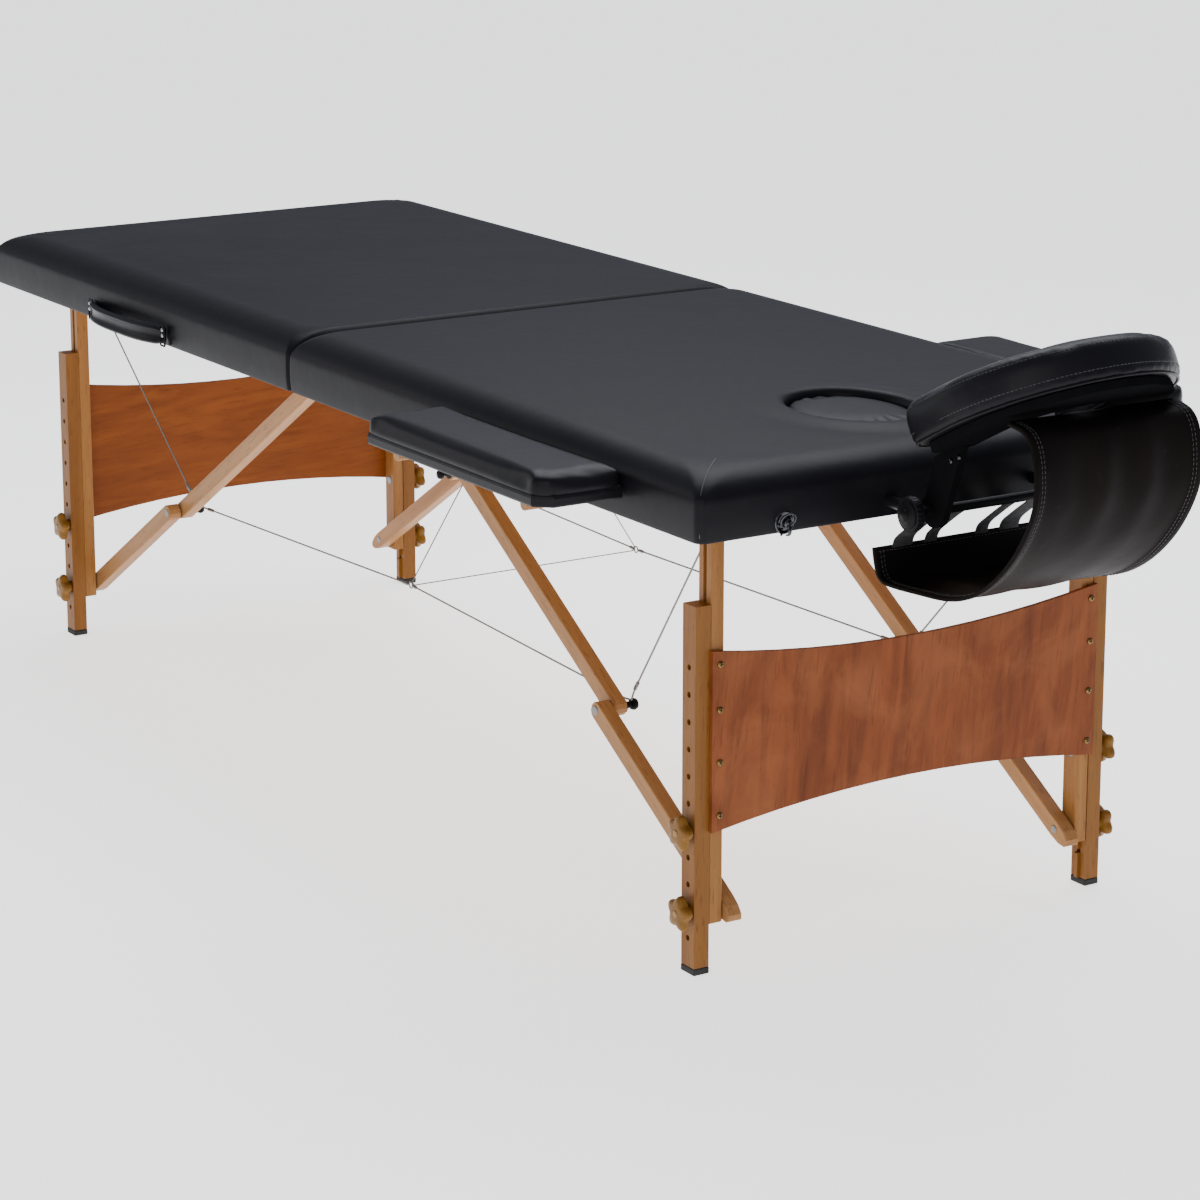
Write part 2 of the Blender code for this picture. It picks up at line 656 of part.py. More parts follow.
def dowel_holes(hand):
    shape = bmesh.new()
    y0, y1 = sorted((hand * (FRAME_Y - FRAME_WALL - 0.010), hand * (HALF_WIDTH + 0.010)))
    for x in DOWEL_X:
        add_prism(shape, circle((x, DOWEL_Z), DOWEL_R + BORE_GAP, 16), "y", y0, y1)
    return shape


def rod_holes():
    shape = bmesh.new()
    for hand in (-1, 1):
        add_prism(shape, circle((hand * ROD_Y, CRADLE_Z), ROD_R + BORE_GAP, 16), "x",
                  FRAME_END - FRAME_WALL - 0.010, HALF_LENGTH + 0.010)
    return shape


# ---------------------------------------------------------------- face cradle
def tilt_matrix():
    """Carries (u, y, n) points to the table."""
    turn = Matrix.Rotation(-CRADLE_TILT, 4, "Y")
    return Matrix.Translation((CRADLE_X, 0.0, CRADLE_Z)) @ turn


def cradle_base(table):
    """Two rods that plug into the head end, joined by the cross bar with its toothed discs."""
    bar = prism(circle((CRADLE_X, CRADLE_Z), CROSS_R, 16), "y", -CROSS_Y, CROSS_Y)
    item = place("cradle_base", bar, "black_metal", (CRADLE_X, 0.0, CRADLE_Z), table)
    parts = bmesh.new()
    for hand in (-1, 1):
        y0, y1 = sorted((hand * DISC_IN_Y, hand * DISC_OUT_Y))
        add_prism(parts, circle((CRADLE_X, CRADLE_Z), DISC_R, 20), "y", y0, y1)
    cut_or_join(item, parts, "UNION", table)
    rods = bmesh.new()
    for hand in (-1, 1):
        add_prism(rods, circle((hand * ROD_Y, CRADLE_Z), ROD_R, 16), "x", ROD_START_X, CRADLE_X)
    cut_or_join(item, rods, "UNION", table)
    webs = bmesh.new()
    for hand in (-1, 1):
        y0, y1 = sorted((hand * WEB_IN_Y, hand * WEB_OUT_Y))
        add_box(webs, (CRADLE_X - 0.010, y0, CRADLE_Z - WEB_HALF), (CRADLE_X, y1, CRADLE_Z + WEB_HALF))
    cut_or_join(item, webs, "UNION", table)
    return item


def horseshoe(u0, u1, half, gap, steps=14):
    """Outline in (u, y): open towards the table, closed and round at the far end."""
    depth = u1 - u0
    points = []
    round_u = u1 - half
    for i in range(steps + 1):
        angle = -0.5 * math.pi + math.pi * i / steps
        points.append((round_u + half * math.cos(angle), half * math.sin(angle)))
    tip = CUSHION_TIP
    wall = half - gap
    for i in range(1, 6):
        angle = 0.5 * math.pi + 0.5 * math.pi * i / 5
        points.append((u0 + tip + tip * math.cos(angle), half - tip + tip * math.sin(angle)))
    points.append((u0, gap + CUSHION_CHAMFER))
    points.append((u0 + CUSHION_CHAMFER, gap))
    hollow = gap
    centre_u = u0 + depth - wall - hollow
    for i in range(steps + 1):
        angle = 0.5 * math.pi - math.pi * i / steps
        points.append((centre_u + hollow * math.cos(angle), hollow * math.sin(angle)))
    points.append((u0 + CUSHION_CHAMFER, -gap))
    points.append((u0, -gap - CUSHION_CHAMFER))
    for i in range(5, 0, -1):
        angle = 0.5 * math.pi + 0.5 * math.pi * i / 5
        points.append((u0 + tip + tip * math.cos(angle), -(half - tip + tip * math.sin(angle))))
    return points


def cradle_cushion(table):
    base = PLATE_N + PLATE_THICK + TOUCH
    shape = prism(horseshoe(CUSHION_U[0], CUSHION_U[1], CUSHION_HALF, ARM_GAP), "z", base, base + CUSHION_HIGH)
    bmesh.ops.transform(shape, matrix=tilt_matrix(), verts=shape.verts)
    item = place("cradle_cushion", shape, "vinyl", (CRADLE_X, 0.0, CRADLE_Z), table)
    return bevel(item, 0.009, segments=2, angle=40.0)


def cradle_platform(table):
    """Horseshoe plate on two arms whose discs clamp on the cross bar."""
    outline = horseshoe(CUSHION_U[0] + 0.012, CUSHION_U[1] - 0.012, CUSHION_HALF - 0.016, ARM_GAP + 0.010, 10)
    shape = prism(outline, "z", PLATE_N, PLATE_N + PLATE_THICK)
    bmesh.ops.transform(shape, matrix=tilt_matrix(), verts=shape.verts)
    item = place("cradle_platform", shape, "black_metal", (CRADLE_X, 0.0, CRADLE_Z), table)
    arms = bmesh.new()
    for hand in (-1, 1):
        y0, y1 = sorted((hand * ARM_PLATE_IN_Y, hand * ARM_PLATE_OUT_Y))
        outline = []
        for i in range(11):
            angle = math.radians(110.0 + 20.0 * i)
            outline.append((DISC_R * math.cos(angle), DISC_R * math.sin(angle)))
        outline.append((0.085, PLATE_N + 0.003))
        outline.append((0.030, PLATE_N + 0.003))
        add_prism(arms, outline, "y", y0, y1)
    bmesh.ops.transform(arms, matrix=tilt_matrix(), verts=arms.verts)
    cut_or_join(item, arms, "UNION", table)
    bore = prism(circle((CRADLE_X, CRADLE_Z), CROSS_R + BORE_GAP, 16), "y", -0.20, 0.20)
    cut_or_join(item, bore, "DIFFERENCE", table)
    return item


def sling_section():
    """Middle line of the hanging arm sling as (x, z), from its upper hem to its inner lip."""
    return [Vector(p) for p in ((1.142, 0.664), (1.170, 0.658), (1.184, 0.640), (1.189, 0.605), (1.182, 0.572),
                                (1.157, 0.530), (1.122, 0.494), (1.082, 0.468), (1.042, 0.455), (0.992, 0.450),
                                (0.942, 0.448), (0.926, 0.453), (0.920, 0.466), (0.916, 0.484))]


def arm_sling(table):
    middle = sling_section()
    outer, inner = [], []
    for i, here in enumerate(middle):
        before = middle[max(i - 1, 0)]
        after = middle[min(i + 1, len(middle) - 1)]
        along = (after - before).normalized()
        across = Vector((-along.y, along.x)) * (SLING_THICK / 2)
        outer.append(here + across)
        inner.append(here - across)
    outline = [(p.x, p.y) for p in outer + inner[::-1]]
    shape = prism(outline, "y", -SLING_HALF, SLING_HALF)
    return place("arm_sling", shape, "vinyl", (middle[0].x, 0.0, middle[0].y), table)


# ---------------------------------------------------------------- the whole table
def build_half(side, table):
    word = "head" if side > 0 else "foot"
    top = pad(word + "_pad", side, table)
    board = deck(word + "_deck", side, table)
    wood = frame(word + "_frame", side, table)
    hinge_leaf("hinge_leaf_" + word, side, table)
    if side > 0:
        cut_or_join(top, face_hole(HOLE_RX, HOLE_RY, FRAME_TOP, TOP_Z + 0.02), "DIFFERENCE", table)
        cut_or_join(board, face_hole(HOLE_RX - DECK_HOLE_IN, HOLE_RY - DECK_HOLE_IN, FRAME_TOP - 0.01, TOP_Z),
                    "DIFFERENCE", table)
        for item in (top, wood):
            for hand in (-1, 1):
                cut_or_join(item, dowel_holes(hand), "DIFFERENCE", table)
            cut_or_join(item, rod_holes(), "DIFFERENCE", table)


def build_legs(side, table):
    word = "head" if side > 0 else "foot"
    upper, knuckle, lower = brace_line()
    for hand in (-1, 1):
        tag = corner_tag(side, hand)
        leg(side, hand, table)
        leg_extension(side, hand, table)
        rubber_foot(side, hand, table)
        for hole, label in zip(KNOB_HOLES, ("upper", "lower")):
            star_knob(side, hand, hole, label, table)
        brace("upper_brace_" + tag, side, hand, upper, knuckle, UPPER_BAR_Y, upper, table)
        brace("lower_brace_" + tag, side, hand, knuckle, lower, LOWER_BAR_Y, lower, table)
        knuckle_nut(side, hand, table)
        brace_cable(side, hand, table)
    end_panel("end_panel_" + word, side, table)


def main():
    clear_scene()
    table = table_empty()
    for side in (1, -1):
        build_half(side, table)
        build_legs(side, table)
    face_plug(table)
    hinge_pin(table)
    yoke_cable(table)
    carry_handle(table)
    for hand, label in ((-1, "near"), (1, "far")):
        latch("latch_" + label, hand, table)
        armrest(hand, table)
    cradle_base(table)
    cradle_platform(table)
    cradle_cushion(table)
    arm_sling(table)


main()
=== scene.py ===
import math

import bmesh
import bpy
from mathutils import Matrix, Vector
from mathutils.bvhtree import BVHTree


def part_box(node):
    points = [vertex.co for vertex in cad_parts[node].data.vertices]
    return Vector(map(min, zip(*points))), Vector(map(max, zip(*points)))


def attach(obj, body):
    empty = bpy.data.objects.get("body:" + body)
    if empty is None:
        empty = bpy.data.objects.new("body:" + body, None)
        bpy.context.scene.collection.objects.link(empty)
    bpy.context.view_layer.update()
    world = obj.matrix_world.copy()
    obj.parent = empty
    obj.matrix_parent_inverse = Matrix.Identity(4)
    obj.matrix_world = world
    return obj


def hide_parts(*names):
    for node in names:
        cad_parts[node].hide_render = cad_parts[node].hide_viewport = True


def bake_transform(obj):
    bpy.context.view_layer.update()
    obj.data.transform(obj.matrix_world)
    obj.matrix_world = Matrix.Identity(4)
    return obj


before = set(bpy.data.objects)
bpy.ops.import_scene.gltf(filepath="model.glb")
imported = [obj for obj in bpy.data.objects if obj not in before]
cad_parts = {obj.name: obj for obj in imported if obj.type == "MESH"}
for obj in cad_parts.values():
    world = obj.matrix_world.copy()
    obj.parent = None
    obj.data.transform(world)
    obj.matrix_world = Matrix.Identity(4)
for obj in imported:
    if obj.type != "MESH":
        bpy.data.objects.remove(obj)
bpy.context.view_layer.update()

UP = Vector((0.0, 0.0, 1.0))
PIN_LOW, PIN_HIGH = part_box("hinge_pin")
HINGE = 0.5 * (PIN_LOW[0] + PIN_HIGH[0])


def at(x, y, z):
    """A point measured along the table from its middle hinge."""
    return Vector((x + HINGE, y, z))


# ---------------------------------------------------------------- finishes
class Wire:
    """A shader socket that sums can be written with."""

    def __init__(self, finish, socket):
        self.finish = finish
        self.socket = socket

    def sum(self, operation, first, second):
        """A Math node on two sockets or numbers."""
        return self.finish.node("ShaderNodeMath", {"operation": operation}, {0: first, 1: second})

    def __add__(self, other):
        return self.sum("ADD", self, other)

    __radd__ = __add__

    def __mul__(self, other):
        return self.sum("MULTIPLY", self, other)

    __rmul__ = __mul__

    def __gt__(self, other):
        return self.sum("GREATER_THAN", self, other)


class Finish:
    """One material: a Principled shader and the nodes in front of it."""

    def __init__(self, name, **fixed):
        self.material = bpy.data.materials.new(name)
        self.material.use_nodes = True
        self.tree = self.material.node_tree
        self.shader = self.tree.nodes["Principled BSDF"]
        self.place = self.node("ShaderNodeTexCoord", output="Object")
        self.wear(**fixed)

    def node(self, kind, settings=None, sockets=None, output=0):
        """Add a node: its settings first, then the values or links of its sockets."""
        made = self.tree.nodes.new(kind)
        for key, value in (settings or {}).items():
            if key == "stops":
                self.set_stops(made.color_ramp, value)
            else:
                setattr(made, key, value)
        for key, value in (sockets or {}).items():
            if isinstance(value, Wire):
                self.tree.links.new(value.socket, made.inputs[key])
            else:
                made.inputs[key].default_value = value
        return Wire(self, made.outputs[output])

    @staticmethod
    def set_stops(ramp, stops):
        while len(ramp.elements) < len(stops):
            ramp.elements.new(0.5)
        for element, (where, colour) in zip(ramp.elements, stops):
            element.position = where
            element.color = (*colour, 1.0)

    def wear(self, **sockets):
        """Set or link sockets of the shader; underscores stand for spaces."""
        for key, value in sockets.items():
            socket = self.shader.inputs[key.replace("_", " ").title().replace("Ior", "IOR")]
            if isinstance(value, Wire):
                self.tree.links.new(value.socket, socket)
            elif isinstance(value, tuple) and len(value) == 3 and socket.type == "RGBA":
                socket.default_value = (*value, 1.0)
            else:
                socket.default_value = value

    def noise(self, scale, detail=3.0, roughness=0.5, where=None, distortion=0.0):
        return self.node("ShaderNodeTexNoise", None, {
            "Vector": where or self.place, "Scale": scale, "Detail": detail, "Roughness": roughness,
            "Distortion": distortion})

    def cells(self, scale, where=None, feature="F1"):
        return self.node("ShaderNodeTexVoronoi", {"feature": feature},
                         {"Vector": where or self.place, "Scale": scale})

    def ramp(self, value, *stops):
        return self.node("ShaderNodeValToRGB", {"stops": stops}, {"Fac": value})

    def mix(self, share, first, second, blend="MIX"):
        def colour(value):
            return (*value, 1.0) if isinstance(value, tuple) and len(value) == 3 else value
        return self.node("ShaderNodeMix", {"data_type": "RGBA", "blend_type": blend},
                         {0: share, 6: colour(first), 7: colour(second)}, output=2)

    def along(self, direction, squeeze):
        """Coordinates pressed together along a direction, so that a texture is drawn out along it."""
        direction = Vector(direction).normalized()
        length = self.node("ShaderNodeVectorMath", {"operation": "DOT_PRODUCT"},
                           {0: self.place, 1: direction}, output="Value")
        part = self.node("ShaderNodeVectorMath", {"operation": "SCALE"},
                         {0: direction, "Scale": length * (1.0 / squeeze - 1.0)})
        return self.node("ShaderNodeVectorMath", {"operation": "ADD"}, {0: self.place, 1: part})

    def bump(self, height, distance, under=None, strength=1.0):
        """A relief of a given depth in metres, on top of another one."""
        sockets = {"Height": height, "Distance": distance, "Strength": strength}
        if under is not None:
            sockets["Normal"] = under
        return self.node("ShaderNodeBump", None, sockets)

    @staticmethod
    def spread(value, low, high):
        """A 0 to 1 value brought to the range low to high."""
        return value * (high - low) + low


def vinyl(name, base=(0.0070, 0.0066, 0.0086), shine=0.42, gloss=0.10):
    """Soft coated fabric with a fine pebbled grain."""
    finish = Finish(name, specular_ior_level=gloss)
    cloudy = finish.noise(9.0, 3.0)
    grain = finish.cells(950.0, feature="SMOOTH_F1")
    fine = finish.noise(1500.0, 2.0)
    scuffs = finish.noise(60.0, 4.0, 0.6)
    tone = finish.ramp(cloudy, (0.30, tuple(0.82 * c for c in base)), (0.72, tuple(1.25 * c for c in base)))
    dusty = finish.mix((scuffs > 0.66) * 0.12, tone, (0.022, 0.021, 0.024))
    relief = finish.bump(grain * 0.7 + fine * 0.3, 0.00022, strength=0.55)
    rolling = finish.bump(finish.noise(26.0, 2.0), 0.0016, under=relief, strength=0.35)
    finish.wear(base_color=dusty, normal=rolling,
                roughness=finish.spread(cloudy * 0.7 + grain * 0.3, shine - 0.06, shine + 0.10))
    return finish.material


def wood(name, direction, pale, dark, shine=0.42, flecks=0.5, lines=46.0):
    """Varnished timber with its grain along a direction."""
    finish = Finish(name, specular_ior_level=0.14, coat_weight=0.05, coat_roughness=0.25)
    long = finish.along(direction, 26.0)
    short = finish.along(direction, 9.0)
    bands = finish.noise(lines, 4.0, 0.55, where=long, distortion=0.6)
    fibre = finish.noise(520.0, 3.0, 0.6, where=long)
    pores = finish.noise(420.0, 1.0, 0.5, where=short)
    board = finish.noise(4.0, 1.0, where=long)
    middle = tuple(0.5 * (p + d) for p, d in zip(pale, dark))
    tone = finish.ramp(bands, (0.28, dark), (0.50, middle), (0.74, pale))
    tone = finish.mix(finish.ramp(fibre, (0.35, (0.0, 0.0, 0.0)), (0.75, (1.0, 1.0, 1.0))) * 0.32,
                      tone, tuple(0.62 * d for d in dark))
    tone = finish.mix((pores > 0.655) * flecks, tone, tuple(0.45 * d for d in dark))
    tone = finish.mix(finish.spread(board, 0.0, 0.45), tone, middle)
    finish.wear(base_color=tone, roughness=finish.spread(fibre, shine - 0.08, shine + 0.12),
                normal=finish.bump(fibre * 0.6 + bands * 0.4, 0.00012, strength=0.5))
    return finish.material


def ply_panel(name, direction, pale, dark, cloud):
    """Stained plywood with a blotchy rotary-cut face."""
    finish = Finish(name, specular_ior_level=0.12, coat_weight=0.03, coat_roughness=0.30)
    grain = finish.along(direction, 7.0)
    streaks = finish.noise(34.0, 5.0, 0.62, where=grain, distortion=1.4)
    fine = finish.noise(300.0, 3.0, 0.6, where=finish.along(direction, 14.0))
    blotch = finish.noise(11.0, 4.0, 0.6, distortion=0.8)
    tone = finish.ramp(streaks, (0.25, dark), (0.50, tuple(0.5 * (p + d) for p, d in zip(pale, dark))),
                       (0.76, pale))
    tone = finish.mix(finish.ramp(blotch, (0.42, (0.0, 0.0, 0.0)), (0.70, (1.0, 1.0, 1.0))) * 0.55,
                      tone, cloud)
    tone = finish.mix((fine > 0.62) * 0.30, tone, tuple(0.55 * d for d in dark))
    finish.wear(base_color=tone, roughness=finish.spread(fine, 0.40, 0.58),
                normal=finish.bump(fine, 0.00010, strength=0.5))
    return finish.material


def metal(name, base, shine, smear=0.08, worn=0.0):
    """Bare or plated metal with light smears and, where worn, small dark pits."""
    finish = Finish(name, metallic=1.0)
    smears = finish.noise(120.0, 3.0, 0.6)
    pits = finish.noise(900.0, 2.0)
    tone = finish.mix(smears, tuple(0.86 * c for c in base), base)
    tone = finish.mix((pits > 0.60) * worn, tone, tuple(0.35 * c for c in base))
    finish.wear(base_color=tone, roughness=finish.spread(smears, max(0.04, shine - smear), shine + smear),
                normal=finish.bump(pits, 0.00005, strength=0.4))
    return finish.material


def painted(name, base, shine, gloss=0.07):
    """Black paint or moulded plastic with a slight orange peel."""
    finish = Finish(name, specular_ior_level=gloss)
    peel = finish.noise(420.0, 2.0)
    dust = finish.noise(35.0, 4.0, 0.6)
    tone = finish.mix(finish.spread(dust, 0.0, 0.5), base, tuple(1.9 * c + 0.004 for c in base))
    finish.wear(base_color=tone, roughness=finish.spread(dust, shine - 0.06, shine + 0.10),
                normal=finish.bump(peel, 0.00010, strength=0.5))
    return finish.material


def rubber(name):
    """Black rubber, rubbed grey in places."""
    finish = Finish(name, specular_ior_level=0.35)
    specks = finish.noise(700.0, 3.0, 0.7)
    rubbed = finish.noise(50.0, 3.0)
    tone = finish.mix(rubbed, (0.010, 0.010, 0.010), (0.030, 0.029, 0.028))
    finish.wear(base_color=tone, roughness=finish.spread(specks, 0.65, 0.90),
                normal=finish.bump(specks, 0.00025, strength=0.6))
    return finish.material


def wire_rope(name):
    """Thin twisted steel cable: fine slanting strands."""
    finish = Finish(name, metallic=1.0)
    strands = finish.node("ShaderNodeTexWave", {"wave_type": "BANDS", "bands_direction": "DIAGONAL"},
                          {"Vector": finish.place, "Scale": 420.0, "Distortion": 1.0, "Detail": 1.0},
                          output="Fac")
    dull = finish.noise(60.0, 3.0)
    tone = finish.mix(strands, (0.10, 0.096, 0.094), (0.34, 0.335, 0.33))
    finish.wear(base_color=tone, roughness=finish.spread(dull, 0.35, 0.55),
                normal=finish.bump(strands, 0.0003, strength=0.7))
    return finish.material


def thread(name):
    """Black sewing thread."""
    finish = Finish(name, sheen_weight=0.2)
    twist = finish.noise(1600.0, 2.0)
    tone = finish.mix(twist, (0.010, 0.010, 0.012), (0.040, 0.040, 0.044))
    finish.wear(base_color=tone, roughness=finish.spread(twist, 0.50, 0.75),
                normal=finish.bump(twist, 0.0003, strength=0.6))
    return finish.material


def webbing(name):
    """Black woven strap."""
    finish = Finish(name, sheen_weight=0.15)
    weave = finish.node("ShaderNodeTexWave", {"bands_direction": "Z"},
                        {"Vector": finish.place, "Scale": 260.0, "Distortion": 0.6}, output="Fac")
    rows = finish.node("ShaderNodeTexWave", {"bands_direction": "Y"},
                       {"Vector": finish.place, "Scale": 300.0, "Distortion": 0.4}, output="Fac")
    cloth = weave * rows
    tone = finish.mix(cloth, (0.006, 0.006, 0.007), (0.026, 0.026, 0.028))
    finish.wear(base_color=tone, roughness=finish.spread(cloth, 0.7, 0.9),
                normal=finish.bump(cloth, 0.0006, strength=0.7))
    return finish.material


def floor_paint(name):
    """Pale matt ground that also glows, so that the shadows stay soft."""
    finish = Finish(name, emission_color=(1.0, 1.0, 1.0), emission_strength=1.6)
    cloud = finish.noise(2.0, 2.0)
    finish.wear(base_color=finish.mix(cloud, (0.90, 0.90, 0.90), (0.94, 0.94, 0.94)),
                roughness=finish.spread(cloud, 0.60, 0.75))
    return finish.material


BEECH_PALE = (0.36, 0.163, 0.044)
BEECH_DARK = (0.215, 0.082, 0.0165)
BRACE_PALE = (0.44, 0.225, 0.088)
BRACE_DARK = (0.30, 0.135, 0.043)
VINYL = vinyl("black vinyl")
VINYL_SIDE = vinyl("black vinyl of the small pads", shine=0.36, gloss=0.12)
SLING_VINYL = vinyl("black vinyl of the sling", base=(0.0072, 0.0055, 0.0052), shine=0.42, gloss=0.025)
THREAD = thread("black thread")
WEBBING = webbing("black webbing")
CHROME = metal("bright plate", (0.34, 0.34, 0.36), 0.13, 0.05)
NICKEL = metal("dark nickel", (0.070, 0.070, 0.076), 0.16, 0.06)
STEEL = metal("plain steel", (0.20, 0.20, 0.21), 0.34, 0.10, 0.3)
BRASS = metal("yellow passivated steel", (0.24, 0.15, 0.05), 0.32, 0.10, 0.4)
BLACK_METAL = painted("black painted steel", (0.0055, 0.0055, 0.0060), 0.34)
# Also the black crosses that are painted shade of the screw recesses.
BLACK_PLASTIC_AND_RECESS_SHADE = painted("black moulded plastic and painted recess shade", (0.0050, 0.0050, 0.0055), 0.42)
MATT_BLACK = painted("matt black powder coat", (0.0045, 0.0045, 0.0050), 0.70, 0.0)
RUBBER = rubber("black rubber")
KNOB_WOOD = wood("pale varnished knob", (0, 1, 0), (0.25, 0.118, 0.018), (0.15, 0.062, 0.008),
                 0.30, 0.25, 60.0)
DECK_PLY = wood("bare deck plywood", (0, 1, 0), (0.55, 0.38, 0.20), (0.42, 0.27, 0.13), 0.60, 0.35, 26.0)
HEAD_PLY = ply_panel("stained head panel", (0, 0.12, 1), (0.245, 0.064, 0.016), (0.105, 0.023, 0.0055),
                     (0.30, 0.098, 0.032))
FOOT_PLY = ply_panel("stained foot panel", (0, 1, 0.05), (0.255, 0.070, 0.010), (0.130, 0.030, 0.0040),
                     (0.20, 0.050, 0.0075))
POST_BEECH = wood("post beech", (0, 0, 1), BEECH_PALE, BEECH_DARK)
EXTENSION_BEECH = wood("extension beech", (0, 0, 1), (0.27, 0.112, 0.020), (0.160, 0.055, 0.0078))
RAIL_BEECH = wood("rail beech", (1, 0, 0), BEECH_PALE, BEECH_DARK)
BOARD_BEECH = wood("board beech", (1, 0, 0), (0.42, 0.22, 0.085), (0.28, 0.13, 0.045))
CABLE = wire_rope("steel cable")


def wear_node(name, material):
    """Give a CAD node its finish."""
    item = bpy.data.objects[name]
    for slot in item.material_slots:
        slot.material = material
    return item


# ---------------------------------------------------------------- mesh helpers
def piece(name, shape, material, body, replaced=(), smooth=True, bevel=0.0):
    """Turn a bmesh into a named piece that rides on a body."""
    bmesh.ops.recalc_face_normals(shape, faces=shape.faces)
    mesh = bpy.data.meshes.new(name)
    shape.to_mesh(mesh)
    shape.free()
    mesh.materials.append(material)
    item = bpy.data.objects.new(name, mesh)
    bpy.context.collection.objects.link(item)
    if smooth:
        mesh.shade_smooth()
    if bevel:
        edge = item.modifiers.new("edges", "BEVEL")
        edge.width = bevel
        edge.segments = 2
        edge.limit_method = "ANGLE"
        edge.angle_limit = math.radians(35.0)
    if body:
        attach(item, body)
    if replaced:
        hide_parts(*replaced)
    return item


def add_skin(shape, loops, closed=False):
    """Faces through rings of equally many points, capped at both ends or joined end to end."""
    rings = [[shape.verts.new(point) for point in loop] for loop in loops]
    pairs = list(zip(rings, rings[1:]))
    if closed:
        pairs.append((rings[-1], rings[0]))
    for low, high in pairs:
        for i in range(len(low)):
            j = (i + 1) % len(low)
            shape.faces.new((low[i], low[j], high[j], high[i]))
    if not closed:
        shape.faces.new(list(reversed(rings[0])))
        shape.faces.new(rings[-1])
    return shape


def skin(loops, closed=False):
    """A new shape with faces through rings of points."""
    return add_skin(bmesh.new(), loops, closed)


def around(count):
    """Evenly spaced angles of a full turn."""
    return [2.0 * math.pi * k / count for k in range(count)]


def add_tube(shape, points, radius, count=8, flat=1.0, closed=False):
    """A round or flattened wire through points."""
    points = [Vector(p) for p in points]
    total = len(points)
    loops = []
    side = None
    for i, here in enumerate(points):
        if closed:
            before = (here - points[i - 1]).normalized()
            after = (points[(i + 1) % total] - here).normalized()
        else:
            before = (here - points[i - 1]).normalized() if i else (points[1] - here).normalized()
            after = (points[i + 1] - here).normalized() if i + 1 < total else before
        way = (before + after).normalized()
        if side is None:
            side = way.cross(UP) if abs(way.z) < 0.9 else way.orthogonal()
        side = (side - way * side.dot(way)).normalized()
        up = way.cross(side)
        loops.append([here + radius * (math.cos(t) * side + flat * math.sin(t) * up)
                      for t in around(count)])
    return add_skin(shape, loops, closed)


def turned(shape, centre, axis, profile, count=24, lobes=None):
    """A solid of revolution: profile is a list of (radius, depth along axis)."""
    axis = Vector(axis).normalized()
    side = axis.orthogonal().normalized()
    up = axis.cross(side)
    loops = []
    for radius, depth in profile:
        loop = []
        for t in around(count):
            reach = radius * (lobes(t, radius) if lobes else 1.0)
            loop.append(Vector(centre) + axis * depth + reach * (math.cos(t) * side + math.sin(t) * up))
        loops.append(loop)
    return add_skin(shape, loops)


def smooth_path(points, steps=8, closed=False):
    """Catmull-Rom curve through points."""
    points = [Vector(p) for p in points]
    total = len(points)
    made = []
    last = total if closed else total - 1
    for i in range(last):
        if closed:
            a, b, c, d = (points[(i + k) % total] for k in (-1, 0, 1, 2))
        else:
            a = points[max(i - 1, 0)]
            b, c = points[i], points[i + 1]
            d = points[min(i + 2, total - 1)]
        for k in range(steps):
            t = k / steps
            made.append(0.5 * ((2 * b) + (c - a) * t + (2 * a - 5 * b + 4 * c - d) * t * t
                               + (3 * b - a - 3 * c + d) * t * t * t))
    if not closed:
        made.append(points[-1].copy())
    return made


def ease(value, low, high):
    """0 below low, 1 above high, and a smooth step between them."""
    t = min(1.0, max(0.0, (value - low) / (high - low)))
    return t * t * (3.0 - 2.0 * t)


def hump(value, centre, width):
    """A smooth bump of height 1."""
    return math.exp(-((value - centre) / width) ** 2)


def stitches(shape, points, normals, step=0.0048, length=0.0030, radius=0.00042):
    """Short raised threads along a line that lies on a surface."""
    travelled = 0.0
    due = step / 2
    for i in range(len(points) - 1):
        here, after = points[i], points[i + 1]
        run = (after - here).length
        if run < 1e-7:
            continue
        while due <= travelled + run:
            t = (due - travelled) / run
            middle = here.lerp(after, t)
            normal = normals[i].lerp(normals[i + 1], t).normalized()
            way = (after - here).normalized() * (length / 2)
            low = normal * (0.2 * radius)
            add_tube(shape, [middle - way - low, middle - 0.5 * way + 1.2 * low + normal * radius * 0.3,
                             middle + 0.5 * way + 1.2 * low + normal * radius * 0.3, middle + way - low],
                     radius, 5)
            due += step
        travelled += run
    return shape


# ---------------------------------------------------------------- inflating the small pads
def round_off(item):
    """Subdivide once, apply it and shade smooth."""
    rounding = item.modifiers.new("round", "SUBSURF")
    rounding.levels = 1
    rounding.render_levels = 1
    bake(item)
    item.data.shade_smooth()


SWELL_FRAMES = 20
CLOTH = {"quality": 4, "mass": 0.25, "tension_stiffness": 18.0, "compression_stiffness": 18.0,
         "shear_stiffness": 8.0, "bending_stiffness": 1.2, "use_pressure": True}


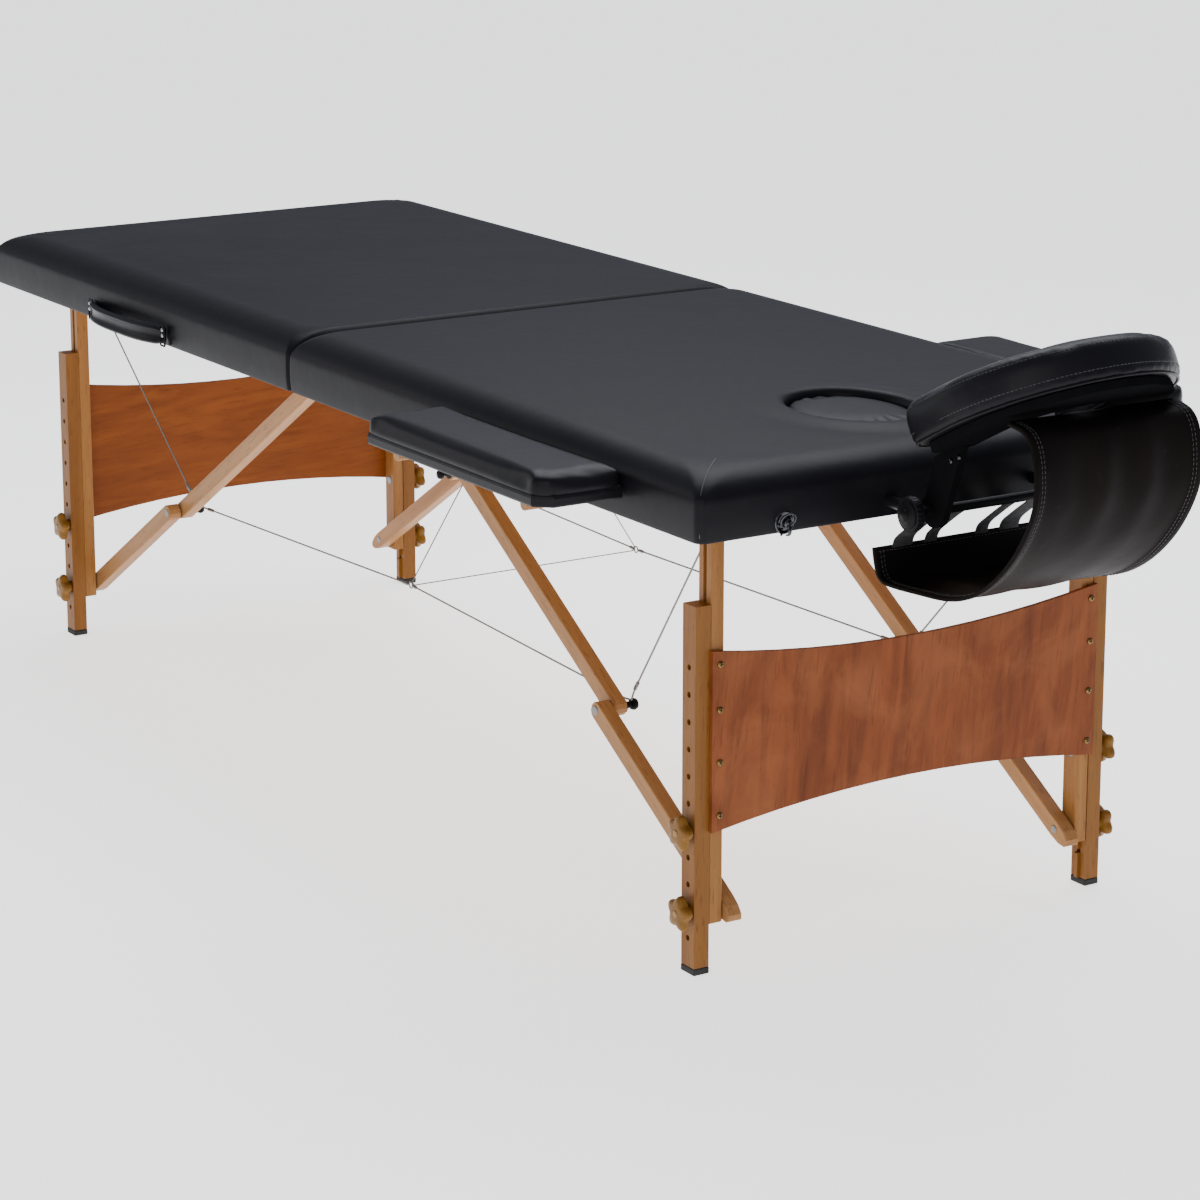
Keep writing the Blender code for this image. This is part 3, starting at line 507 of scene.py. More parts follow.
def inflate(item, voxel, pressure, cap, pinned):
    """Swell a pad with a cloth simulation, hold every point within cap of where it began, and smooth it."""
    remesh = item.modifiers.new("even", "REMESH")
    remesh.mode = "VOXEL"
    remesh.voxel_size = voxel
    bake(item)
    start = [v.co.copy() for v in item.data.vertices]
    group = item.vertex_groups.new(name="held")
    for i, point in enumerate(start):
        group.add([i], pinned(point), "REPLACE")
    cloth = item.modifiers.new("swell", "CLOTH")
    for key, value in CLOTH.items():
        setattr(cloth.settings, key, value)
    cloth.settings.uniform_pressure_force = pressure
    cloth.settings.effector_weights.gravity = 0.0
    cloth.settings.vertex_group_mass = "held"
    cloth.collision_settings.use_collision = False
    scene = bpy.context.scene
    cloth.point_cache.frame_start = 1
    cloth.point_cache.frame_end = SWELL_FRAMES
    for number in range(1, SWELL_FRAMES + 1):
        scene.frame_set(number)
    bake(item)
    scene.frame_set(1)
    for vertex, point in zip(item.data.vertices, start):
        moved = vertex.co - point
        if moved.length > cap:
            vertex.co = point + moved.normalized() * cap
    relax(item, 6)
    round_off(item)
    return item


def relax(item, times):
    """Even out a mesh."""
    shape = bmesh.new()
    shape.from_mesh(item.data)
    for _ in range(times):
        bmesh.ops.smooth_vert(shape, verts=shape.verts, factor=0.5, use_axis_x=True, use_axis_y=True,
                              use_axis_z=True)
    shape.to_mesh(item.data)
    shape.free()


def bake(item):
    """Apply every modifier of an object."""
    bpy.context.view_layer.update()
    graph = bpy.context.evaluated_depsgraph_get()
    done = bpy.data.meshes.new_from_object(item.evaluated_get(graph))
    item.modifiers.clear()
    old = item.data
    name = old.name
    item.data = done
    bpy.data.meshes.remove(old)
    done.name = name


def on_surface(item, points, middle):
    """The points brought onto a piece's surface along the line from middle(point)."""
    mesh = item.data
    tree = BVHTree.FromPolygons([v.co for v in mesh.vertices], [p.vertices for p in mesh.polygons])
    found, normals = [], []
    for point in points:
        away = (point - middle(point)).normalized()
        hit, normal, _, _ = tree.ray_cast(point + away * 0.04, -away)
        if hit is None:
            hit, normal, _, _ = tree.find_nearest(point)
        found.append(hit)
        normals.append(normal)
    return found, normals


# ---------------------------------------------------------------- sizes shared with the frame
def centre_of(low, high):
    """Middle of a box."""
    return [0.5 * (a + b) for a, b in zip(low, high)]


BASE_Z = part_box("head_frame")[0][2]
TOP_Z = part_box("foot_pad")[1][2]
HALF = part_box("head_pad")[1][0] - HINGE
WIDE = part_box("head_pad")[1][1]
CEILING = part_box("head_deck")[1][2] + 0.0008
SKIRT = 0.0052
EDGE_ACROSS = 0.048
EDGE_DOWN = 0.032
END_ROUND = 0.0115
HINGE_ROUND = 0.0070
SQUARE_ROUND = 0.0012
BULGE = 0.0016
PAD_MIDDLE = 0.46
HOLE = (0.722, 0.0905, 0.0670)
POST = 0.8236
KNOB_FACE = 0.2889
LOWER_PIN = Vector((0.8224, 0.0740))
UPPER_PIN = Vector((0.0652, 0.5470))
LOWER_BAR_LENGTH = 0.299
KNUCKLE = LOWER_PIN + (UPPER_PIN - LOWER_PIN).normalized() * LOWER_BAR_LENGTH
LOWER_BAR = (0.2494, 0.2309)
UPPER_BAR = (0.2294, 0.2109)
TILT_AXIS = at(0.990, 0.0, 0.5375)
CRADLE_SLOPE = 27.0
TILT = Matrix.Translation(TILT_AXIS) @ Matrix.Rotation(-math.radians(CRADLE_SLOPE), 4, "Y")
BODIES = {1: "head", -1: "foot"}
HANDS = {-1: "near", 1: "far"}


# ---------------------------------------------------------------- table pads
def outer_round(inset):
    """Corner radius of a pad's outer end at an inset from its edge."""
    return END_ROUND + max(0.0, inset - BULGE) * 1.15


def edge_curve(angle):
    """Inset and height of the rolled edge, from the wall at 0 to the flat top at a right angle."""
    return (EDGE_ACROSS * (1.0 - math.cos(angle) ** 0.92), TOP_Z - EDGE_DOWN * (1.0 - math.sin(angle)))


def pad_ring(side, inset, z, spread=0.0, pinch=0.0, square=False):
    """One level of a pad: its inset from the edge, a third of that at the hinge, and its soft corners."""
    x0 = 0.0008 + inset * (1.0 if square else 0.34)
    x1 = HALF - inset + spread
    y1 = WIDE - inset + spread
    end_round = SQUARE_ROUND if square else outer_round(inset)
    hinge_round = SQUARE_ROUND if square else HINGE_ROUND + inset * 0.70
    points = []
    corners = ((x1, y1, 0, end_round), (x0, y1, 90, hinge_round),
               (x0, -y1, 180, hinge_round), (x1, -y1, 270, end_round))
    steps = 12
    for k, (x, y, start, radius) in enumerate(corners):
        cx = x - radius if x == x1 else x + radius
        cy = y - radius if y > 0 else y + radius
        for i in range(steps + 1):
            angle = math.radians(start + 90.0 * i / steps)
            tuck = 0.3 * hump(abs(i - steps / 2), 3.0, 1.2) - hump(i, steps / 2, 1.0)
            reach = radius + pinch * tuck
            points.append(Vector((side * (cx + reach * math.cos(angle)), cy + reach * math.sin(angle), z)))
        after = corners[(k + 1) % 4]
        nx = after[0] - after[3] if after[0] == x1 else after[0] + after[3]
        ny = after[1] - after[3] if after[1] > 0 else after[1] + after[3]
        angle = math.radians(start + 90.0)
        nxt = Vector((side * (nx + after[3] * math.cos(angle)), ny + after[3] * math.sin(angle), z))
        here = Vector((side * (cx + radius * math.cos(angle)), cy + radius * math.sin(angle), z))
        runs = 26
        points += [here.lerp(nxt, j / runs) for j in range(1, runs)]
    return points


def table_pad(side):
    """Foam top of one half, its cover drawn over the edge with a tuck at each corner."""
    loops = []
    for inset, z in ((SKIRT + 0.020, CEILING), (SKIRT + 0.0012, CEILING), (SKIRT, CEILING - 0.0003),
                     (SKIRT, CEILING - 0.0015), (SKIRT, 0.5 * (CEILING + BASE_Z)), (SKIRT, BASE_Z + 0.0016),
                     (SKIRT - 0.0004, BASE_Z + 0.0005)):
        loops.append(pad_ring(side, inset, z, square=True))
    for inset, z, pinch in ((0.0022, BASE_Z + 0.0002, 0.0), (0.0006, BASE_Z + 0.0012, 0.0002),
                            (0.0, BASE_Z + 0.0045, 0.0004), (-0.0012, BASE_Z + 0.014, 0.0007),
                            (-BULGE, BASE_Z + 0.024, 0.0009)):
        loops.append(pad_ring(side, max(inset, 0.0), z, spread=-min(inset, 0.0), pinch=pinch))
    steps = 16
    for i in range(1, steps + 1):
        inset, z = edge_curve(0.5 * math.pi * i / steps)
        spread = BULGE * (1.0 - i / steps) ** 2
        loops.append(pad_ring(side, inset, z, spread, 0.0009 * (1.0 - i / steps) ** 0.7))
    edge = loops[-1]
    centre = Vector((HOLE[0] if side > 0 else -PAD_MIDDLE, 0.0, 0.0))
    size = (HOLE[1] + 0.014, HOLE[2] + 0.014) if side > 0 else (0.12, 0.07)
    target = []
    for p in edge:
        away = (p - centre)
        angle = math.atan2(away.y / size[1], away.x / size[0])
        target.append(centre + Vector((size[0] * math.cos(angle), size[1] * math.sin(angle), 0.0)))

    def crown(x, y):
        """Slight dome and faint ripples of the flat top."""
        u = (abs(x) - HALF / 2) / (HALF / 2)
        v = y / WIDE
        rise = 0.0022 * (1.0 - u * u) * (1.0 - v * v)
        ripple = 0.00035 * math.sin(23.0 * x + 4.0 * y) * math.sin(17.0 * y - 5.0 * x)
        return rise + ripple

    for share in (0.04, 0.09, 0.15, 0.23, 0.32, 0.42, 0.53, 0.64, 0.74, 0.83, 0.90, 0.955, 1.0):
        ring = []
        for p, q in zip(edge, target):
            point = p.lerp(q, share)
            lift = crown(point.x, point.y) * ease(share, 0.0, 0.25)
            if side > 0:
                gap = math.hypot((point.x - centre.x) / size[0], point.y / size[1]) - 1.0
                lift = (lift * ease(gap, 0.0, 0.35) - 0.0016 * hump(gap, 0.42, 0.16)
                        + 0.0042 * hump(gap, 0.04, 0.17))
            ring.append(Vector((point.x, point.y, TOP_Z + lift)))
        loops.append(ring)
    if side > 0:
        for grow, z in ((0.0080, 0.0034), (0.0036, 0.0014), (0.0010, -0.0026), (0.0, -0.0080), (0.0, -0.0150),
                        (0.0, None)):
            ring = []
            for q in target:
                angle = math.atan2((q.y) / size[1], (q.x - centre.x) / size[0])
                level = CEILING if z is None else TOP_Z + z
                ring.append(Vector((centre.x + (HOLE[1] + grow) * math.cos(angle),
                                    (HOLE[2] + grow) * math.sin(angle), level)))
            loops.append(ring)
    loops = [[p + Vector((HINGE, 0.0, 0.0)) for p in loop] for loop in loops]
    word = BODIES[side]
    item = piece("upholstery_" + word, skin(loops, closed=side > 0), VINYL, word + "_half",
                 (word + "_pad",))
    round_off(item)
    return item


def face_plug():
    """Loose foam plug in the face hole, gathered at both ends."""
    centre = Vector((HOLE[0] + HINGE, 0.0, 0.0))
    loops = []
    count = 96
    profile = ((0.0060, CEILING + 0.0012 - TOP_Z), (0.0036, CEILING + 0.0014 - TOP_Z), (0.0028, -0.0160),
               (0.0020, -0.0120), (0.0026, -0.0084), (0.0050, -0.0056), (0.0095, -0.0036), (0.0165, -0.0020),
               (0.025, -0.0008), (0.036, 0.0002), (0.047, 0.0008), (0.056, 0.0010), (0.062, 0.0010))
    for inset, dz in profile:
        ring = []
        for t in around(count):
            ends = abs(math.cos(t)) ** 6
            pleat = ends * 0.0017 * math.cos(19.0 * t + 0.6) * hump(inset, 0.013, 0.010)
            dent = -0.0030 * ends * hump(inset, 0.020, 0.010)
            level = TOP_Z + dz + (pleat + dent if dz > -0.0085 else 0.0)
            ring.append(centre + Vector(((HOLE[1] - inset) * math.cos(t), (HOLE[2] - inset) * math.sin(t),
                                         level)))
        loops.append(ring)
    item = piece("face_hole_plug", skin(loops), VINYL_SIDE, "plug", ("face_plug",))
    round_off(item)


def corner_stitching():
    """Sewn seam down each outer corner of the two pads."""
    for side in (1, -1):
        shape = bmesh.new()
        for hand in (-1, 1):
            line = []
            for i in range(17):
                inset, level = edge_curve(max(0.0, 0.5 * math.pi * (1.0 - i / 13)))
                if i > 13:
                    level = TOP_Z - EDGE_DOWN - (i - 13) * 0.0115
                radius = outer_round(inset)
                middle = Vector((HALF - inset - radius, WIDE - inset - radius))
                reach = radius / math.sqrt(2.0)
                line.append(at(side * (middle.x + reach), hand * (middle.y + reach), level - 0.0002))
            add_tube(shape, line, 0.0008, 6)
        item = piece("corner_seams_" + BODIES[side], shape, THREAD, BODIES[side] + "_half")


# ---------------------------------------------------------------- small pads
def prism(outline, low, high):
    """Upright solid over an outline, between two heights."""
    shape = bmesh.new()
    return add_skin(shape, [[Vector((x, y, z)) for x, y in outline] for z in (low, high)])


def shrink(outline, distance):
    """A closed outline moved inwards by a distance."""
    total = len(outline)
    area = sum(outline[i][0] * outline[(i + 1) % total][1] - outline[(i + 1) % total][0] * outline[i][1]
               for i in range(total))
    turn = 1.0 if area > 0 else -1.0
    made = []
    for i in range(total):
        before = Vector(outline[i]) - Vector(outline[i - 1])
        after = Vector(outline[(i + 1) % total]) - Vector(outline[i])
        way = (before.normalized() + after.normalized()).normalized()
        inward = Vector((-way.y, way.x)) * turn
        cosine = max(0.5, abs(inward.dot(Vector((-after.y, after.x)).normalized())))
        made.append(tuple(Vector(outline[i]) + inward * (distance / cosine)))
    return made


def armrest(hand):
    """Soft armrest pad with one corner cut off, and the vinyl wrapped round its board."""
    label = HANDS[hand]
    low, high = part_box("armrest_pad_" + label)
    inner, outer = (high[1], low[1]) if hand < 0 else (low[1], high[1])
    cut = 0.018
    plan = [(low[0], inner), (high[0], inner), (high[0], outer - hand * cut), (high[0] - cut, outer),
            (low[0] + 0.006, outer), (low[0], outer - hand * 0.006)]
    shape = prism(shrink(plan, 0.0006), low[2] + 0.0006, high[2] - 0.0016)
    item = piece("armrest_upholstery_" + label, shape, VINYL_SIDE, None, smooth=False)
    inflate(item, 0.0042, 3.5, 0.0042,
            pinned=lambda p: 1.0 if p.z < low[2] + 0.003 else 0.0)
    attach(item, "armrest_" + label)
    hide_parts("armrest_pad_" + label)
    board = low[2] - 0.0085
    loops = []
    for inset, z in ((0.0012, board + 0.0010), (0.0006, board + 0.0024), (0.0004, low[2] + 0.0010),
                     (0.0010, low[2] + 0.0036), (0.0026, low[2] + 0.0056), (0.0044, low[2] + 0.0050),
                     (0.0044, board), (0.0020, board)):
        loops.append([Vector((x, y, z)) for x, y in shrink(plan, inset)])
    wrap = piece("armrest_wrap_" + label, skin(loops, closed=True), VINYL_SIDE, "armrest_" + label,
                 smooth=False)


def horseshoe(u0, u1, half, gap, steps=28):
    """Outline in (u, y), open towards the table."""
    def arc(u, y, radius, start, count):
        return [(u + radius * math.cos(t), y + radius * math.sin(t))
                for t in (start + 0.5 * math.pi * i / count for i in range(1, count + 1))]

    tip = arc(u0 + TIP_ROUND, half - TIP_ROUND, TIP_ROUND, 0.5 * math.pi, 8)
    inner = arc(u0 + INNER_ROUND, gap + INNER_ROUND, INNER_ROUND, math.pi, 5)
    outside, inside = [], []
    for i in range(steps + 1):
        angle = -0.5 * math.pi + math.pi * i / steps
        outside.append((u1 - half + half * math.cos(angle), half * math.sin(angle)))
        inside.append((u1 - half + gap * math.cos(-angle), gap * math.sin(-angle)))
    mirrored = [(u, -y) for u, y in reversed(tip + inner)]
    return outside + tip + inner + inside + mirrored


CUSHION = (0.041, 0.276, 0.147, 0.055)
CUSHION_BASE = 0.0595
CUSHION_TOP = 0.1113
TIP_ROUND = 0.040
INNER_ROUND = 0.024
WELT_IN = 0.0095


def cradle_cushion():
    """Boxed horseshoe cushion: two faces, a side wall that bellies out, and sewn edges."""
    plan = horseshoe(*CUSHION)
    body = shrink(plan, 0.0048)
    shape = bmesh.new()
    levels = ((0.0045, CUSHION_BASE + 0.0006), (0.0010, CUSHION_BASE + 0.0035), (0.0, CUSHION_BASE + 0.009),
              (0.0, CUSHION_TOP - 0.017), (0.0035, CUSHION_TOP - 0.0085), (0.011, CUSHION_TOP - 0.0035))
    add_skin(shape, [[TILT @ Vector((u, y, n)) for u, y in shrink(body, inset)] for inset, n in levels])
    item = piece("face_cushion", shape, VINYL_SIDE, None, smooth=False)
    down = TILT.inverted()
    inflate(item, 0.0045, 4.0, 0.0058, pinned=lambda p: 1.0 if (down @ p).z < CUSHION_BASE + 0.002 else 0.0)
    for vertex in item.data.vertices:
        local = down @ vertex.co
        local.z = max(local.z, CUSHION_BASE)
        for level in (CUSHION_BASE + 0.011, CUSHION_TOP - 0.0105):
            nearest = min(plan, key=lambda p: (p[0] - local.x) ** 2 + (p[1] - local.y) ** 2)
            gap = math.hypot(nearest[0] - local.x, nearest[1] - local.y)
            if gap < 0.012:
                sink = 0.0013 * hump(local.z, level, 0.0016) * (1.0 - gap / 0.012)
                inward = Vector((0.165 - local.x, -0.1 * local.y, 0.0))
                centre_line = Vector((local.x - nearest[0], local.y - nearest[1], 0.0))
                way = centre_line if centre_line.length > 1e-5 else inward
                local += way.normalized() * sink
        vertex.co = TILT @ local
    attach(item, "cradle")
    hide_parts("cradle_cushion")
    shape = bmesh.new()
    ring = horseshoe(*CUSHION, steps=60)
    middle = shrink(ring, 0.026)
    for level in (CUSHION_BASE + 0.0125, CUSHION_TOP - 0.0120):
        points = [TILT @ Vector((u, y, level)) for u, y in ring]
        cores = {tuple(p): TILT @ Vector((u, y, level)) for p, (u, y) in zip(points, middle)}
        found, normals = on_surface(item, points, lambda p: cores[tuple(p)])
        stitches(shape, found + found[:1], normals + normals[:1])
    sewn = piece("face_cushion_stitching", shape, THREAD, "cradle")
    shape = bmesh.new()
    line = [TILT @ Vector((u, y, CUSHION_BASE + 0.0018))
            for u, y in shrink(horseshoe(*CUSHION, steps=40), WELT_IN)]
    add_tube(shape, line, 0.0016, 8, closed=True)
    welt = piece("face_cushion_welt", shape, VINYL_SIDE, "cradle")


# ---------------------------------------------------------------- arm sling
SLING = ((1.142, 0.664), (1.170, 0.658), (1.184, 0.640), (1.189, 0.605), (1.182, 0.572), (1.157, 0.530),
         (1.122, 0.494), (1.082, 0.468), (1.042, 0.455), (0.992, 0.450), (0.942, 0.448), (0.926, 0.453),
         (0.920, 0.466), (0.916, 0.484))
SLING_HALF = 0.111


def sling_surface(steps=9, rows=56):
    """Grid of points and normals over the hanging sling, with its soft vertical folds."""
    path = smooth_path([(x, 0.0, z) for x, z in SLING], steps)
    total = len(path)
    points, normals = [], []
    for i, here in enumerate(path):
        before, after = path[max(i - 1, 0)], path[min(i + 1, total - 1)]
        way = (after - before).normalized()
        outward = Vector((-way.z, 0.0, way.x))
        s = i / (total - 1)
        row, ways = [], []
        for j in range(rows + 1):
            v = -1.0 + 2.0 * j / rows
            y = v * SLING_HALF * (1.0 - 0.03 * hump(s, 0.62, 0.18) * abs(v))
            folds = (hump(v, -0.42, 0.16) + 0.8 * hump(v, 0.10, 0.14) + 0.9 * hump(v, 0.62, 0.15)
                     - 0.9 * hump(v, -0.16, 0.13) - 0.8 * hump(v, 0.36, 0.12))
            depth = 0.0034 * folds * hump(s, 0.20, 0.13)
            depth += 0.0012 * math.sin(9.0 * v + 7.0 * s) * hump(s, 0.7, 0.2)
            depth -= 0.0030 * hump(abs(v), 1.0, 0.10) * hump(s, 0.45, 0.25)
            sag = -0.004 * (1.0 - v * v) * hump(s, 0.72, 0.16)
            point = at(here.x, y, here.z) - outward * depth + Vector((0.0, 0.0, sag))
            row.append(point)
            ways.append(-outward)
        points.append(row)
        normals.append(ways)
    return points, normals


SLING_THICK = 0.0013
SLING_HEM = 0.0008
SLING_HEM_WIDE = 0.011
SLING_STITCH = (0.0052, 0.0032, 0.00036)


def arm_sling():
    """Hanging armrest cloth with hems, rows of stitches and its four straps."""
    points, normals = sling_surface()
    shape = bmesh.new()
    total, rows = len(points), len(points[0])

    def half_thickness(i, j):
        """Cloth, doubled along its hems."""
        edge = min(j, rows - 1 - j) * (2.0 * SLING_HALF / (rows - 1))
        end = min(i, total - 1 - i)
        return SLING_THICK + (SLING_HEM if edge < SLING_HEM_WIDE or end < 3 else 0.0)

    outer = [[shape.verts.new(points[i][j] + normals[i][j] * half_thickness(i, j)) for j in range(rows)]
             for i in range(total)]
    inner = [[shape.verts.new(points[i][j] - normals[i][j] * half_thickness(i, j)) for j in range(rows)]
             for i in range(total)]
    for i in range(total - 1):
        for j in range(rows - 1):
            shape.faces.new((outer[i][j], outer[i][j + 1], outer[i + 1][j + 1], outer[i + 1][j]))
            shape.faces.new((inner[i][j], inner[i + 1][j], inner[i + 1][j + 1], inner[i][j + 1]))
    for i in range(total - 1):
        shape.faces.new((outer[i][0], outer[i + 1][0], inner[i + 1][0], inner[i][0]))
        shape.faces.new((outer[i][-1], inner[i][-1], inner[i + 1][-1], outer[i + 1][-1]))
    for j in range(rows - 1):
        shape.faces.new((outer[0][j], inner[0][j], inner[0][j + 1], outer[0][j + 1]))
        shape.faces.new((outer[-1][j], outer[-1][j + 1], inner[-1][j + 1], inner[-1][j]))
    item = piece("sling_cloth", shape, SLING_VINYL, "sling", ("arm_sling",))
    length = sum((points[i + 1][rows // 2] - points[i][rows // 2]).length for i in range(total - 1))
    shape = bmesh.new()
    for j in (2, 3, rows - 3, rows - 4):
        for sign in (1.0, -1.0):
            line = [points[i][j] + sign * normals[i][j] * (SLING_THICK + 0.0009) for i in range(2, total - 2)]
            ways = [sign * normals[i][j] for i in range(2, total - 2)]
            stitches(shape, line, ways, *SLING_STITCH)
    for i in (3, total - 4):
        line = [points[i][j] + normals[i][j] * (SLING_THICK + 0.0009) for j in range(1, rows - 1)]
        ways = [normals[i][j] for j in range(1, rows - 1)]
        stitches(shape, line, ways, *SLING_STITCH)
    sewn = piece("sling_stitching", shape, THREAD, "sling")
    for hand in (-1, 1):
        label = HANDS[hand]
        for number, y, half in ((1, 0.0735, 0.0140), (2, 0.0350, 0.0090)):
            top = at(0.986, hand * y, 0.5345)
            low = points[-3][rows // 2] + Vector((0.0016, hand * y, 0.0))
            route = [top, (top.x - 0.020, top.y, top.z - 0.010), (low.x + 0.022, top.y, top.z - 0.028),
                     low + Vector((0.005, 0.0, 0.012)), low]
            line = smooth_path(route, 8)
            shape = bmesh.new()
            loops = []
            for point in line:
                loops.append([point + Vector((a, b * half, a)) for a, b in
                              ((-0.0007, -0.96), (0.0, -1.0), (0.0007, -0.96), (0.0007, 0.96), (0.0, 1.0),
                               (-0.0007, 0.96))])
            add_skin(shape, loops)
            strap = piece("sling_strap_%s_%d" % (label, number), shape, WEBBING, None)
            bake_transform(strap)


# ---------------------------------------------------------------- carry handle
def carry_handle():
    """Padded grip, held by a wire loop and two screws at each end."""
    low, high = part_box("carry_handle")
    middle_x, _, z = centre_of(low, high)
    half = 0.5 * (high[0] - low[0])
    side_y = high[1]
    bow = side_y - low[1] - 0.0070
    section = []
    for t in around(32):
        up = 0.0128 * math.copysign(abs(math.sin(t)) ** 0.7, math.sin(t))
        out = 0.0036 * math.copysign(abs(math.cos(t)) ** 0.6, math.cos(t))
        if math.cos(t) > 0:
            out += 0.0032 * hump(abs(up), 0.0092, 0.0026) - 0.0018 * hump(up, 0.0, 0.0050)
        section.append((out, up))
    loops = []
    steps = 44
    for i in range(steps + 1):
        t = -1.0 + 2.0 * i / steps
        x = middle_x + t * (half - 0.006)
        y = side_y - 0.0050 - (bow - 0.0050) * (1.0 - abs(t) ** 3.2)
        slope = (bow - 0.0050) * 3.2 * abs(t) ** 2.2 * math.copysign(1.0, t) / half
        way = Vector((1.0, slope, 0.0)).normalized()
        outward = Vector((way.y, -way.x, 0.0))
        ends = 1.0 - 0.22 * ease(abs(t), 0.88, 1.0)
        crease = 1.0 - 0.05 * math.cos(40.0 * t) * ease(abs(t), 0.6, 1.0)
        loops.append([Vector((x, y, z)) + outward * (a * crease) + UP * (b * ends) for a, b in section])
    item = piece("handle_grip", skin(loops), VINYL_SIDE, "foot_half", ("carry_handle",))
    for sign, label in ((-1, "foot_end"), (1, "hinge_end")):
        shape = bmesh.new()
        x = middle_x + sign * (half - 0.005)
        loop = []
        for cx, cz, start in ((0.0042, 0.0112, 0), (-0.0042, 0.0112, 90), (-0.0042, -0.0112, 180),
                              (0.0042, -0.0112, 270)):
            for k in range(5):
                angle = math.radians(start + 22.5 * k)
                loop.append(Vector((x + cx + 0.0022 * math.cos(angle), side_y - 0.0088,
                                    z + cz + 0.0022 * math.sin(angle))))
        add_tube(shape, loop, 0.0013, 8, closed=True)
        plate = [(x - 0.0075, z - 0.0125), (x + 0.0075, z - 0.0125), (x + 0.0075, z + 0.0125),
                 (x - 0.0075, z + 0.0125)]
        add_skin(shape, [[Vector((px, y, pz)) for px, pz in plate]
                         for y in (side_y - 0.0004, side_y - 0.0016)])
        fitting = piece("handle_loop_" + label, shape, BLACK_METAL, "foot_half")
        shape = bmesh.new()
        for dz in (0.0010, 0.0085):
            turned(shape, (x + sign * 0.0015, side_y - 0.0098, z + dz), (0, -1, 0),
                   ((0.0031, 0.0), (0.0031, 0.0006), (0.0022, 0.0014), (0.0008, 0.0017)), 18)
        piece("handle_screws_" + label, shape, CHROME, "foot_half")


# ---------------------------------------------------------------- latches
def latch(hand):
    """Nickel turn catch: rolled plate, swung wire loop, hook and screws."""
    label = HANDS[hand]
    low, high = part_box("latch_" + label)
    face = low[0]
    _, y0, z0 = centre_of(low, high)
    shape = bmesh.new()
    turned(shape, (face, y0, z0), (1, 0, 0),
           ((0.0128, 0.0), (0.0132, 0.0008), (0.0126, 0.0018), (0.0112, 0.0021), (0.0105, 0.0014),
            (0.0060, 0.0015), (0.0046, 0.0040), (0.0046, 0.0072), (0.0034, 0.0084), (0.0010, 0.0088)), 40)
    for dy, dz in ((-0.0082, -0.0022), (0.0082, -0.0022)):
        turned(shape, (face + 0.0012, y0 + dy, z0 + dz), (1, 0, 0),
               ((0.0021, 0.0), (0.0021, 0.0006), (0.0014, 0.0012), (0.0004, 0.0014)), 14)
    loop = []
    for t in around(28):
        loop.append(Vector((face + 0.0078 + 0.0030 * math.sin(t), y0 + 0.0094 * math.cos(t),
                            z0 + 0.0036 + 0.0078 * math.sin(t))))
    add_tube(shape, loop, 0.0010, 8, closed=True)
    hook = [(face + 0.0060, y0, z0 + 0.0010), (face + 0.0098, y0, z0 - 0.0030),
            (face + 0.0112, y0, z0 - 0.0080), (face + 0.0090, y0, z0 - 0.0122),
            (face + 0.0058, y0, z0 - 0.0128)]
    add_tube(shape, smooth_path(hook, 5), 0.0023, 10, flat=0.45)
    for dy in (-0.0055, 0.0055):
        tab = [(face + 0.0012, y0 + dy, z0 - 0.0095), (face + 0.0034, y0 + dy, z0 - 0.0125),
               (face + 0.0026, y0 + dy, z0 - 0.0134)]
        add_tube(shape, tab, 0.0016, 8, flat=0.5)
    item = piece("turn_catch_" + label, shape, NICKEL, "latch_body_" + label, ("latch_" + label,))


# ---------------------------------------------------------------- knobs, screws and bolts
def star_knobs():
    """Eight turned five-lobed knobs, each with a threaded insert."""
    def lobes(t, radius):
        """Five lobes, growing towards the rim."""
        strength = 0.15 * ease(radius, 0.0095, 0.0150)
        return 1.0 + strength * math.cos(5.0 * t) - 0.05 * strength

    profile = ((0.0086, 0.0), (0.0088, 0.0012), (0.0080, 0.0030), (0.0092, 0.0046), (0.0132, 0.0052),
               (0.0164, 0.0064), (0.0180, 0.0086), (0.0184, 0.0112), (0.0178, 0.0138), (0.0160, 0.0158),
               (0.0128, 0.0170), (0.0080, 0.0175), (0.0030, 0.0174))
    for side in (1, -1):
        for hand in (-1, 1):
            tag = BODIES[side] + "_" + HANDS[hand]
            for label in ("upper", "lower"):
                node = "star_knob_%s_%s" % (tag, label)
                x, _, z = centre_of(*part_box(node))
                centre = (x, hand * KNOB_FACE, z)
                shape = turned(bmesh.new(), centre, (0, hand, 0), profile, 60, lobes)
                item = piece("wooden_" + node, shape, KNOB_WOOD, "knob_%s_%s" % (tag, label), (node,))
                shape = turned(bmesh.new(), (centre[0], hand * (KNOB_FACE + 0.0171), centre[2]), (0, hand, 0),
                               ((0.0044, 0.0), (0.0044, 0.0006), (0.0036, 0.0010), (0.0012, 0.0011)), 20)
                cap = piece("insert_" + node, shape, BRASS, "knob_%s_%s" % (tag, label))


